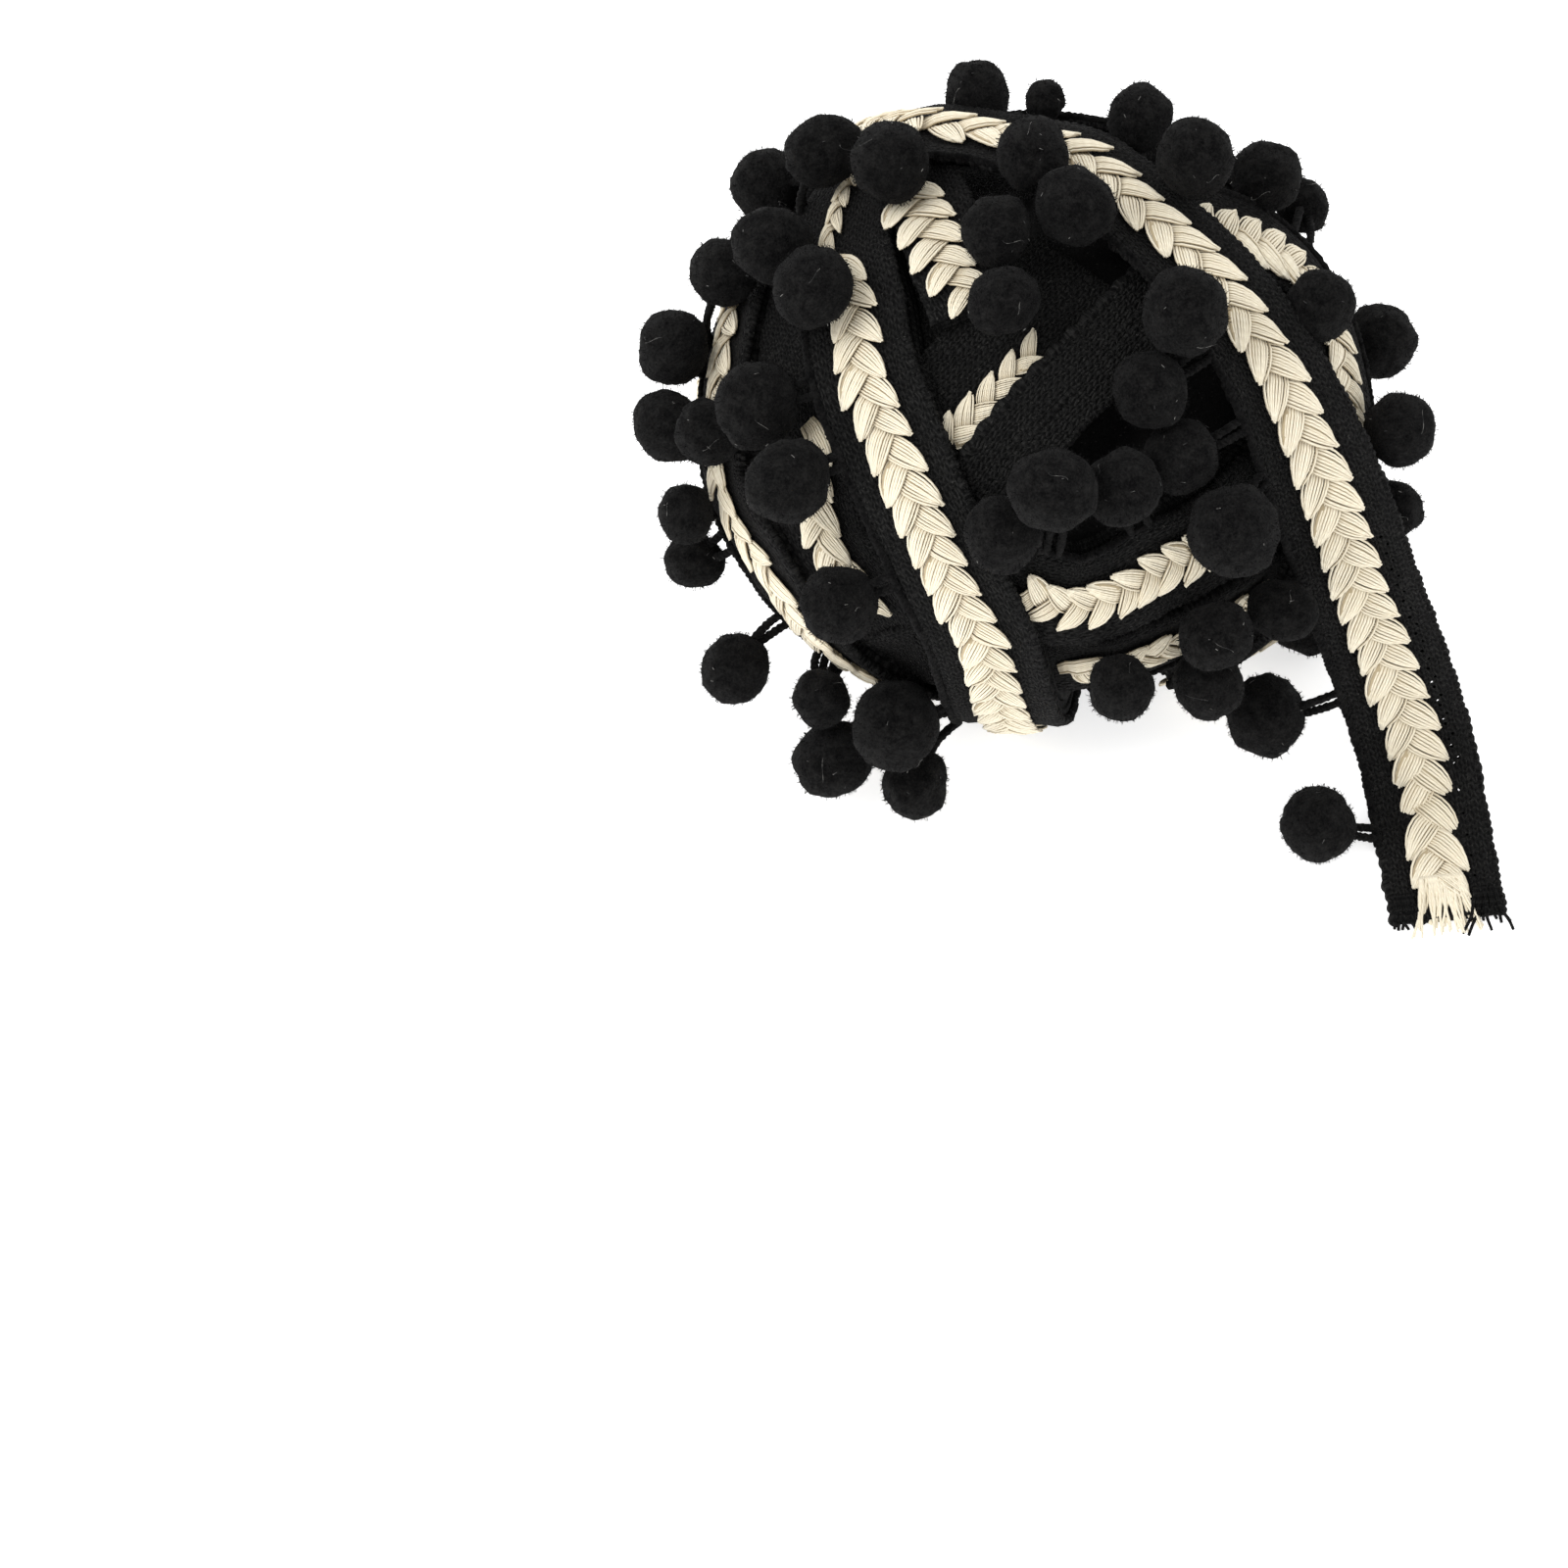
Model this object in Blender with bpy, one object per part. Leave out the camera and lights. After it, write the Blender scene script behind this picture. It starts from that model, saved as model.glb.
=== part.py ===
"""Pompom fringe trim wound into a loose ball, its last length hanging off the ball onto the floor.

The trim is a black tape with a cream plait sewn down its middle and felted pompoms on short loops
along one edge. The ball's front leans back: places on it are in millimetres, `across` along +X and
`up` in a plane that leans back FRONT_LEAN degrees from upright, and `out` is measured away from that
plane. The world origin is the middle of the spot that the ball rests on.
"""

import math
from typing import NamedTuple

import bmesh
import bpy
import numpy as np

MM = 0.001

# The ball of wound turns.
FRONT_LEAN = 55.0
CENTRE_HEIGHT = 54.0
CORE_RADII = np.array([59.0, 51.5, 51.5])
CORE_RINGS = 14
CORE_SEGMENTS = 28
HOLLOW_PLACE = (13.0, -4.0)
HOLLOW_RADIUS = 17.0
HOLLOW_DEPTH = 10.0
REST_DEPTH = 40.0
REST_HEIGHT = 9.0

# The trim: tape, plait, selvedge and pompoms.
TAPE_WIDTH = 21.0
TAPE_THICKNESS = 1.8
TAPE_STEP = 8.0
CURVE_STEPS = 8
AHEAD = 1.5
COVER_STEP = 1.5
COVER_MARGIN = 1.5
COVER_HEIGHT = 16.0
LEVEL_TOPS = (1.5, 4.5, 7.5)
TURN_ROOT = -12.0
PLAIT_WIDTH = 11.0
PLAIT_HEIGHT = 2.0
STRAP_WIDTH = 14.5
CURL_WIDTH = 15.0
NARROW_PLAIT = 8.0
PLAIT_PITCH = 6.4
PLAIT_LEAN = 3.4
SHORTEST_PLAIT = 11.0
PLAIT_SIDE = 0.6
PLAIT_END = 1.0
PLAIT_BARE = 3.0
LOW_LEAF = 0.82
POMPOM_PITCH = 24.0
POMPOM_RADIUS = 7.5
POMPOM_LIFT = 9.0
HEAD_SQUASH = 0.93
LOOP_RADIUS = 0.75
LOOP_SPREAD = 2.6
LOOP_BULGE = 0.3
STRAND_STEPS = (0.0, 0.35, 0.7, 1.0)
STRAND_TILT = (0.011, 0.017, 0.013)
LOOP_DEPTH = 0.6
CLOSEST_ROOTS = 4.0
SELVEDGE_WIDTH = 1.4
SELVEDGE_HEIGHT = 1.2
SELVEDGE_LIFT = 1.0
SELVEDGE_END = 3.0
SELVEDGE_STEP = 3.0
GAP = 0.35
SELVEDGE_GAP = 0.6
CLEARANCE = 0.6
FLOOR_GAP = 0.1

# How the pompoms are laid so that none presses on anything.
POINT_STEP = 4.0
CORE_STEP = 0.09
CORE_SIZE = 2.4
BORDER_SIZE = 1.8
PUSHES = 400
HOMING = 0.03
PUSH_SHARES = (0.7, 0.9, 0.9)
OUT_SHARE = 0.3

# Edges sharper than this stay crisp where a mesh is shaded smooth.
SMOOTH_ANGLE = math.radians(40.0)

# The frayed end.
FRAY_LOCK_RADIUS = 0.5
FRAY_STRIP = 1.0
FRAY_LIFT = 0.2
FRAY_HEIGHT = 1.2

BLACK_TAPE = (0.010, 0.010, 0.011, 1.0)
BLACK_FELT = (0.007, 0.007, 0.008, 1.0)
CREAM_COTTON = (0.86, 0.78, 0.62, 1.0)

LEAN = math.radians(FRONT_LEAN)
ACROSS = np.array([1.0, 0.0, 0.0])
UP = np.array([0.0, math.sin(LEAN), math.cos(LEAN)])
OUT = np.array([0.0, -math.cos(LEAN), math.sin(LEAN)])
CENTRE = np.array([0.0, 0.0, CENTRE_HEIGHT])
FLOOR_UP = np.array([0.0, 0.0, 1.0])


class Spot(NamedTuple):
    """A place on the ball: its side is 1 in front, 0 on the rim and -1 behind."""

    across: float
    up: float
    side: int


class Turn(NamedTuple):
    """One wound turn: its level in the pile, whether it closes, the widths that show, and its route."""

    name: str
    level: int
    closed: bool
    width: float
    plait: float
    spots: tuple


class Hang(NamedTuple):
    """A place on the loose length: its lay is 0 on the ball, 1 in the air and 2 on the floor."""

    across: float
    up: float
    out: float
    lay: float


class Bob(NamedTuple):
    """Where a pompom shows, and its radius."""

    across: float
    up: float
    radius: float


class Fringe(NamedTuple):
    """The pompoms on one open stretch of a turn's edge: edge is 1 on the route's left and -1 on its right."""

    name: str
    turn: str
    edge: int
    bobs: tuple


class RearFringe(NamedTuple):
    """Pompoms spaced evenly along a turn's edge, from a length along it."""

    name: str
    turn: str
    edge: int
    first: float
    count: int


class Fray(NamedTuple):
    """Cut yarns at the loose end: the part of the width they fill, their number, length and splay."""

    name: str
    beside: float
    width: float
    count: int
    length: float
    splay: float


TURNS = (
    Turn(
        "left_turn",
        2,
        True,
        TAPE_WIDTH,
        PLAIT_WIDTH,
        (
            Spot(0, -8, -1),
            Spot(-2, 12, -1),
            Spot(-8, 32, -1),
            Spot(-26, 50, 0),
            Spot(-36, 42, 1),
            Spot(-37.5, 31, 1),
            Spot(-35, 20, 1),
            Spot(-33, 8, 1),
            Spot(-28, -5, 1),
            Spot(-22, -19, 1),
            Spot(-16, -32, 1),
            Spot(-9, -46, 1),
            Spot(-3, -56, 0),
            Spot(2, -32, -1),
        ),
    ),
    Turn(
        "outer_turn",
        1,
        True,
        TAPE_WIDTH,
        PLAIT_WIDTH,
        (
            Spot(-26, -10, -1),
            Spot(-34, 16, -1),
            Spot(-46, 32, -1),
            Spot(-56, 30, 0),
            Spot(-58, 18, 1),
            Spot(-60, 3, 1),
            Spot(-60, -10, 1),
            Spot(-57, -19, 1),
            Spot(-52, -27, 1),
            Spot(-47, -35, 1),
            Spot(-40, -43, 1),
            Spot(-32, -49.5, 0),
            Spot(-24, -50, -1),
            Spot(-22, -36, -1),
        ),
    ),
    Turn(
        "between_turn",
        0,
        True,
        TAPE_WIDTH,
        PLAIT_WIDTH,
        (
            Spot(-44, 36, 1),
            Spot(-44, 15, 1),
            Spot(-42, 2, 1),
            Spot(-40, -22, 1),
            Spot(-32, -36, 1),
            Spot(-24, -48, 0),
            Spot(-12, -30, -1),
            Spot(-16, 10, -1),
            Spot(-34, 40, -1),
        ),
    ),
    Turn(
        "curled_turn",
        2,
        False,
        CURL_WIDTH,
        PLAIT_WIDTH,
        (
            Spot(-24, 51, 0),
            Spot(-20, 41, 1),
            Spot(-16.5, 30, 1),
            Spot(-12.5, 20, 1),
        ),
    ),
    Turn(
        "inner_turn",
        0,
        False,
        TAPE_WIDTH,
        NARROW_PLAIT,
        (
            Spot(-27, -11, 1),
            Spot(-19.5, -2, 1),
            Spot(-10.5, 8, 1),
            Spot(-1.5, 18, 1),
            Spot(9, 29, 1),
        ),
    ),
    Turn(
        "turned_over",
        1,
        False,
        STRAP_WIDTH,
        0.0,
        (
            Spot(-11, -17, 1),
            Spot(-4, -7, 1),
            Spot(4, 2, 1),
            Spot(14, 12, 1),
            Spot(24, 22, 1),
            Spot(32, 29, 1),
        ),
    ),
    Turn(
        "lower_turn",
        1,
        False,
        TAPE_WIDTH,
        PLAIT_WIDTH,
        (
            Spot(-7, -32, 1),
            Spot(0, -34.5, 1),
            Spot(8, -36, 1),
            Spot(16, -34, 1),
            Spot(24, -29.5, 1),
            Spot(33, -25, 1),
            Spot(43, -17, 1),
            Spot(51, -6, 1),
            Spot(57, 8, 1),
            Spot(57, 22, 0),
            Spot(44, 34, -1),
        ),
    ),
    Turn(
        "bottom_turn",
        0,
        False,
        TAPE_WIDTH,
        PLAIT_WIDTH,
        (
            Spot(-34, -30, -1),
            Spot(-28, -44, 0),
            Spot(-8, -42, 1),
            Spot(3, -47, 1),
            Spot(14, -47.5, 1),
            Spot(25, -44, 1),
            Spot(42, -35, 1),
            Spot(54, -20, 0),
            Spot(54, 4, -1),
            Spot(44, 26, -1),
        ),
    ),
    Turn(
        "top_turn",
        2,
        False,
        TAPE_WIDTH,
        PLAIT_WIDTH,
        (
            Spot(-13, 55, -1),
            Spot(-6, 57.5, -1),
            Spot(4, 58.3, -1),
            Spot(16, 56.5, -1),
            Spot(28, 52, -1),
            Spot(40, 44, -1),
            Spot(49, 32, -1),
            Spot(50, 16, -1),
            Spot(44, -4, -1),
            Spot(32, -24, -1),
        ),
    ),
    Turn(
        "right_turn",
        2,
        False,
        TAPE_WIDTH,
        PLAIT_WIDTH,
        (
            Spot(26, 36.5, 1),
            Spot(35, 36.5, 1),
            Spot(45, 33.5, 1),
            Spot(53.5, 27, 1),
            Spot(59, 16, 1),
            Spot(61.5, 3, 1),
            Spot(62, -10, 1),
            Spot(60, -23, 1),
            Spot(54, -36, 0),
            Spot(44, -42, -1),
            Spot(32, -46, -1),
        ),
    ),
    Turn(
        "rear_turn",
        2,
        False,
        TAPE_WIDTH,
        PLAIT_WIDTH,
        (
            Spot(-42, 30, -1),
            Spot(-39, 16, -1),
            Spot(-34, 0, -1),
            Spot(-30, -16, -1),
            Spot(-25, -36, -1),
        ),
    ),
    Turn(
        "rear_high_turn",
        1,
        False,
        TAPE_WIDTH,
        PLAIT_WIDTH,
        (
            Spot(-62, 6, 0),
            Spot(-50, 20, -1),
            Spot(-22, 30, -1),
            Spot(12, 28, -1),
            Spot(44, 14, -1),
            Spot(58, -2, -1),
        ),
    ),
)

FRAYS = (
    Fray("left_border_fray", -8.0, 4.6, 4, 3.2, 1.0),
    Fray("plait_fray", 0.0, 9.6, 7, 6.5, 2.0),
    Fray("right_border_fray", 8.0, 4.6, 5, 6.5, 5.0),
)

LOOSE_LENGTH = (
    Hang(-43.5, 39.5, -32, 0),
    Hang(-41, 48, -21.5, 0),
    Hang(-34.5, 55.5, -4, 0),
    Hang(-25, 57, 16, 0),
    Hang(-15, 55.5, 24, 0),
    Hang(-4, 53.5, 28, 0),
    Hang(8, 50, 35, 0),
    Hang(21, 39, 44, 0),
    Hang(33, 27, 48, 0),
    Hang(42, 15, 49, 0.1),
    Hang(48, 4, 46.5, 0.3),
    Hang(53, -7, 41.5, 0.6),
    Hang(58, -19, 33, 0.9),
    Hang(63, -32, 20.5, 1),
    Hang(69, -46, 6, 1),
    Hang(73.5, -58, -4, 1),
    Hang(76, -66, -8.9, 1.3),
    Hang(77.5, -74, -9.6, 1.7),
    Hang(79.2, -84.7, -4.2, 2),
    Hang(80.9, -95.8, 3.6, 2),
)

FRINGES = (
    Fringe(
        "loose_fringe",
        "loose",
        -1,
        (
            Bob(-27, 48, 8),
            Bob(0, 49, 7),
            Bob(6, 39, 8),
            Bob(28, 18, 8.5),
            Bob(22, 5, 7.5),
            Bob(28, -10, 7.5),
            Bob(37, -21, 9),
            Bob(48, -37, 6.5),
            Bob(46, -57, 8),
            Bob(56, -78, 7.6),
        ),
    ),
    Fringe(
        "left_fringe",
        "left_turn",
        -1,
        (
            Bob(-39, 50, 7.5),
            Bob(-51, 46, 7),
            Bob(-49, 32, 8),
            Bob(-42, 24, 8),
            Bob(-52, 1, 8.5),
            Bob(-47, -12, 8.5),
            Bob(-37, -36, 7.5),
            Bob(-26, -59, 9),
            Bob(-22, -70, 7),
        ),
    ),
    Fringe(
        "outer_fringe",
        "outer_turn",
        -1,
        (
            Bob(-59, 28, 6.5),
            Bob(-68, 13, 7.5),
            Bob(-69, -1, 7),
            Bob(-62, -3, 6.5),
            Bob(-66, -18, 6),
            Bob(-65, -27, 5.5),
            Bob(-57, -48, 7),
            Bob(-40, -55, 6),
            Bob(-38, -64, 7.5),
        ),
    ),
    Fringe(
        "top_fringe",
        "top_turn",
        -1,
        (
            Bob(-10, 63, 7),
            Bob(3, 62, 4),
            Bob(21, 58, 6.5),
        ),
    ),
    Fringe(
        "right_fringe",
        "right_turn",
        1,
        (
            Bob(30, 47.5, 8),
            Bob(45, 46, 7),
            Bob(53, 42, 5.5),
            Bob(55, 21, 7),
            Bob(69, -2, 7),
            Bob(67, -17, 6),
        ),
    ),
    Fringe(
        "bottom_fringe",
        "bottom_turn",
        -1,
        (
            Bob(17, -52, 6.5),
            Bob(34, -51, 7),
            Bob(35, -42, 7),
        ),
    ),
    Fringe(
        "hollow_fringe",
        "lower_turn",
        1,
        (
            Bob(-6, -23, 7.5),
            Bob(3, -15, 8.5),
            Bob(17, -14, 7.5),
        ),
    ),
    Fringe(
        "curled_fringe",
        "curled_turn",
        1,
        (
            Bob(-6, 35, 7),
            Bob(-6, 21, 7),
        ),
    ),
)

REAR_FRINGES = (
    RearFringe("left_rear_fringe", "left_turn", -1, 6.0, 3),
    RearFringe("rear_fringe", "rear_turn", 1, 24.0, 2),
    RearFringe("right_rear_fringe", "right_turn", 1, 112.0, 1),
    RearFringe("high_rear_fringe", "top_turn", -1, 80.0, 2),
)


def unit(vectors):
    """Each row of an array brought to length 1."""
    vectors = np.asarray(vectors, float)
    return vectors / np.linalg.norm(vectors, axis=-1, keepdims=True)


def from_front(across, up, out):
    """A place given from the ball's centre by the directions of its leaning front, in world axes."""
    return CENTRE + across * ACROSS + up * UP + out * OUT


def on_ball(across, up, side, top=0.0):
    """The direction on a round unit ball of a spot that shows at a height above the core."""
    radii = CORE_RADII + top
    flat = np.array([across / radii[0], up / radii[1]])
    reach = np.linalg.norm(flat)
    if side == 0 or reach > 0.998:
        return np.array([*(flat / reach), 0.0])
    return np.array([*flat, side * math.sqrt(1 - reach**2)])


def curve_through(points, closed):
    """A smooth curve through the points, with CURVE_STEPS steps from each to the next."""
    points = np.asarray(points, float)
    count = len(points)
    if closed:
        ring = np.concatenate([points[-1:], points, points[:2]])
        spans = count
    else:
        first, last = 2 * points[0] - points[1], 2 * points[-1] - points[-2]
        ring = np.concatenate([[first], points, [last]])
        spans = count - 1
    steps = np.arange(CURVE_STEPS)[:, None] / CURVE_STEPS
    made = []
    for i in range(spans):
        a, b, c, d = ring[i : i + 4]
        made.append(
            0.5
            * (
                2 * b
                + (c - a) * steps
                + (2 * a - 5 * b + 4 * c - d) * steps**2
                + (3 * b - 3 * c + d - a) * steps**3
            )
        )
    made = np.concatenate(made)
    return made if closed else np.concatenate([made, points[-1:]])


class Route:
    """A curve with a facing direction at every point, read by the length run along it.

    Its tape's face is at the height top, and thick is 0 on the ball, where the tape is a raised ridge.
    """

    def __init__(self, name, points, normals, top, width, closed, thick):
        self.name = name
        self.closed = closed
        self.top = top
        self.width = width
        self.thick = thick
        if closed:
            points = np.concatenate([points, points[:1]])
            normals = np.concatenate([normals, normals[:1]])
        self.points = points
        self.normals = normals
        runs = np.linalg.norm(np.diff(points, axis=0), axis=1)
        self.along = np.concatenate([[0.0], np.cumsum(runs)])
        self.length = self.along[-1]

    def read(self, values, at):
        """The values along the route at the lengths asked for, going round again on a closed one."""
        at = np.mod(at, self.length) if self.closed else at
        return np.stack([np.interp(at, self.along, values[:, k]) for k in range(3)], axis=-1)

    def place(self, at, beside, above):
        """World places at a length along the route, so far to its left and so far above it."""
        at = np.asarray(at, float)
        middle = self.read(self.points, at)
        ahead = unit(self.read(self.points, at + AHEAD) - self.read(self.points, at - AHEAD))
        normal = self.read(self.normals, at)
        normal = unit(normal - np.sum(normal * ahead, axis=-1, keepdims=True) * ahead)
        left = np.cross(normal, ahead)
        return (
            middle
            + left * np.asarray(beside, float)[..., None]
            + normal * np.asarray(above, float)[..., None]
        )


def ball_route(turn):
    """The route of one turn: a smooth line over the ball, at the height of its level."""
    rows = [on_ball(*spot, LEVEL_TOPS[turn.level]) for spot in turn.spots]
    rows = unit(curve_through(rows, turn.closed))
    points = rows * CORE_RADII
    normals = unit(rows / CORE_RADII)
    points = np.array([from_front(*row) for row in points])
    normals = normals @ np.array([ACROSS, UP, OUT])
    top = LEVEL_TOPS[turn.level]
    return Route(turn.name, points, normals, top, turn.width, turn.closed, 0.0)


def loose_route():
    """The route of the loose length, whose tape lies on the ball, hangs in the air and lies on the floor."""
    rows = []
    for hang in LOOSE_LENGTH:
        on = unit(np.array([hang.across, hang.up, hang.out]) / CORE_RADII**2)
        facing = (on @ np.array([ACROSS, UP, OUT]), OUT, FLOOR_UP)
        low = min(int(hang.lay), 1)
        share = hang.lay - low
        normal = facing[low] * (1 - share) + facing[low + 1] * share
        rows.append([*from_front(hang.across, hang.up, hang.out), *normal])
    rows = curve_through(rows, False)
    rows[:, 2] = np.maximum(rows[:, 2], TAPE_THICKNESS + FLOOR_GAP)
    normals = unit(rows[:, 3:])
    return Route("loose", rows[:, :3], normals, 0.0, TAPE_WIDTH, False, TAPE_THICKNESS)


def stations(start, end, step):
    """Lengths from start to end, about a step apart."""
    return np.linspace(start, end, max(2, round((end - start) / step) + 1))


def is_under(route, at, routes, sides):
    """Whether a higher turn, or the loose length, passes over the tape there, at any of the sides given."""
    if route.thick:
        return False
    if route.place(at, 0.0, route.top)[2] < REST_HEIGHT:
        return True
    for beside in sides:
        place = route.place(at, beside, 0.0)
        for other in routes.values():
            if other is route or (other.top <= route.top and not other.thick):
                continue
            near = np.linalg.norm(other.points - place, axis=1)
            high = other.top - route.top
            if other.thick:
                high = (other.points - place) @ unit(place - CENTRE)
            beside_it = np.sqrt(np.maximum(near**2 - high**2, 0.0))
            covers = beside_it < other.width / 2 + COVER_MARGIN
            if np.any(covers & (np.abs(high) < COVER_HEIGHT)):
                return True
    return False


def open_stretches(route, routes, margin):
    """The start and end of each stretch of a turn that no higher turn covers, the shortest left out."""
    lengths = np.arange(0.0, route.length, COVER_STEP)
    clear = [not is_under(route, at, routes, (-margin, 0.0, margin)) for at in lengths]
    if route.closed and all(clear):
        return [(0.0, route.length - GAP)]
    if route.closed:
        turn = clear.index(False)
        lengths = np.concatenate([lengths[turn:], lengths[:turn] + route.length])
        clear = clear[turn:] + clear[:turn]
    found, start = [], None
    for at, free in zip([*lengths, lengths[-1] + COVER_STEP], [*clear, False]):
        if free and start is None:
            start = at
        if not free and start is not None:
            if at - COVER_STEP - start >= SHORTEST_PLAIT:
                found.append((start, at - COVER_STEP))
            start = None
    return found


def principled(name, colour, roughness):
    """A plain material with one colour and roughness."""
    found = bpy.data.materials.get(name)
    if found:
        return found
    material = bpy.data.materials.new(name)
    material.use_nodes = True
    shader = material.node_tree.nodes["Principled BSDF"]
    shader.inputs["Base Color"].default_value = colour
    shader.inputs["Roughness"].default_value = roughness
    shader.inputs["Metallic"].default_value = 0.0
    return material


def tape_finish():
    return principled("black_tape", BLACK_TAPE, 0.9)


def plait_finish():
    return principled("cream_cotton", CREAM_COTTON, 0.85)


def felt_finish():
    return principled("black_felt", BLACK_FELT, 1.0)


def smoothed(mesh):
    """Shades a mesh smooth, apart from its sharp edges."""
    mesh.shade_smooth()
    mesh.set_sharp_from_angle(angle=SMOOTH_ANGLE)


def add_object(name, vertices, faces, material):
    """A mesh object from places in millimetres, with its faces turned outwards."""
    mesh = bpy.data.meshes.new(name)
    mesh.from_pydata([tuple(np.asarray(v) * MM) for v in vertices], [], faces)
    work = bmesh.new()
    work.from_mesh(mesh)
    bmesh.ops.recalc_face_normals(work, faces=work.faces)
    if work.calc_volume(signed=True) < 0:
        bmesh.ops.reverse_faces(work, faces=work.faces)
    work.to_mesh(mesh)
    work.free()
    smoothed(mesh)
    mesh.materials.append(material)
    made = bpy.data.objects.new(name, mesh)
    bpy.context.scene.collection.objects.link(made)
    return made


def as_helper(made):
    """Marks an object as a cutter or an added shape, which is no piece of its own."""
    made.hide_render = True
    made.display_type = "WIRE"
    return made


def combine(target, other, operation):
    """Joins another solid to this one or cuts it away; the bent bands' faces aren't flat enough for EXACT."""
    step = target.modifiers.new(other.name, "BOOLEAN")
    step.operation = operation
    step.solver = "MANIFOLD"
    step.object = other
    as_helper(other)


def filled(target):
    """Applies an object's Booleans, and drops the walls of any air pocket sealed inside it."""
    graph = bpy.context.evaluated_depsgraph_get()
    mesh = bpy.data.meshes.new_from_object(target.evaluated_get(graph))
    target.modifiers.clear()
    work = bmesh.new()
    work.from_mesh(mesh)
    shells, seen = [], set()
    for first in work.faces:
        if first in seen:
            continue
        seen.add(first)
        shell = [first]
        for face in shell:
            for edge in face.edges:
                fresh = [other for other in edge.link_faces if other not in seen]
                seen.update(fresh)
                shell.extend(fresh)
        shells.append(shell)
    shells.sort(key=len)
    bmesh.ops.delete(work, geom=[face for shell in shells[:-1] for face in shell], context="FACES")
    work.to_mesh(mesh)
    work.free()
    smoothed(mesh)
    target.data = mesh
    return target


def lofted(rings, closed):
    """Vertices and faces of a tube through equal rings of points."""
    count = len(rings[0])
    vertices = [v for ring in rings for v in ring]
    faces = []
    last = len(rings) if closed else len(rings) - 1
    for i in range(last):
        here, there = i * count, (i + 1) % len(rings) * count
        for j in range(count):
            k = (j + 1) % count
            faces.append((here + j, here + k, there + k, there + j))
    if not closed:
        faces.append(tuple(range(count)))
        faces.append(tuple((len(rings) - 1) * count + j for j in range(count)))
    return vertices, faces


def band_mesh(route, start, end, outline, step):
    """A band along a route, with its section given as (beside, above) corners."""
    whole = route.closed and end - start > route.length - step
    lengths = stations(start, end, step)
    lengths = lengths[:-1] if whole else lengths
    rings = [[route.place(at, *corner) for corner in outline] for at in lengths]
    return lofted(rings, whole)


def box_outline(middle, width, low, high):
    """The corners of a band's section, so far beside the route's middle."""
    left, right = middle - width / 2, middle + width / 2
    return (left, low), (left, high), (right, high), (right, low)


def core():
    """The ball's inside: an oval with a shallow hollow in its front and a flat underside."""
    vertices, faces = [], []
    hollow = on_ball(*HOLLOW_PLACE, 1) * CORE_RADII
    for i in range(CORE_RINGS + 1):
        polar = math.pi * i / CORE_RINGS
        for j in range(CORE_SEGMENTS if 0 < i < CORE_RINGS else 1):
            turn = 2 * math.pi * j / CORE_SEGMENTS
            row = np.array(
                [math.cos(polar), math.sin(polar) * math.cos(turn), math.sin(polar) * math.sin(turn)]
            )
            place = row * CORE_RADII
            away = np.linalg.norm(place - hollow) / HOLLOW_RADIUS
            place = place - unit(hollow) * HOLLOW_DEPTH * math.exp(-(away**2))
            vertices.append(from_front(*place))
    for j in range(CORE_SEGMENTS):
        k = (j + 1) % CORE_SEGMENTS
        faces.append((0, 1 + j, 1 + k))
        low = 1 + (CORE_RINGS - 2) * CORE_SEGMENTS
        faces.append((len(vertices) - 1, low + k, low + j))
        for i in range(CORE_RINGS - 2):
            here, there = 1 + i * CORE_SEGMENTS, 1 + (i + 1) * CORE_SEGMENTS
            faces.append((here + j, there + j, there + k, here + k))
    return add_object("wound_ball", vertices, faces, tape_finish())


def floor_cutter():
    """A block below the floor, which presses the underside flat."""
    reach = 2 * CORE_RADII[0]
    corners = [(x, y, z) for z in (-REST_DEPTH, 0.0) for x, y in ((-1, -1), (1, -1), (1, 1), (-1, 1))]
    vertices = [(x * reach, y * reach, z) for x, y, z in corners]
    faces = [(3, 2, 1, 0), (4, 5, 6, 7), (0, 1, 5, 4), (1, 2, 6, 5), (2, 3, 7, 6), (3, 0, 4, 7)]
    return add_object("floor_cutter", vertices, faces, tape_finish())


def wound_ball(routes):
    """The ball as one solid: the core with every turn raised on it."""
    ball = core()
    for turn in TURNS:
        route = routes[turn.name]
        outline = box_outline(0.0, route.width, TURN_ROOT, route.top)
        mesh = band_mesh(route, 0.0, route.length, outline, TAPE_STEP)
        combine(ball, add_object(turn.name + "_ridge", *mesh, tape_finish()), "UNION")
    combine(ball, floor_cutter(), "DIFFERENCE")
    return filled(ball)


def plait(name, route, width, start, end):
    """A flat plait along a route: leaves lean back from the middle, the left ones half a pitch on."""
    half, base = width / 2, route.top + 2 * GAP
    rings = []
    for i, at in enumerate(stations(start + PLAIT_LEAN, end, PLAIT_PITCH / 2)):
        left, right = (1.0, LOW_LEAF) if i % 2 else (LOW_LEAF, 1.0)
        rim, crown = PLAIT_HEIGHT / 2, PLAIT_HEIGHT
        back = at - PLAIT_LEAN
        ahead = min(at, end)
        ring = [
            route.place(ahead, -half * right, base),
            route.place(ahead, -half * right, base + rim * right),
            route.place(back + PLAIT_LEAN * 0.4, -half * 0.45, base + crown * right),
            route.place(back, 0.0, base + crown * 0.8),
            route.place(back + PLAIT_LEAN * 0.4, half * 0.45, base + crown * left),
            route.place(ahead, half * left, base + rim * left),
            route.place(ahead, half * left, base),
        ]
        rings.append(ring)
    return add_object(name, *lofted(rings, False), plait_finish())


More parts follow.
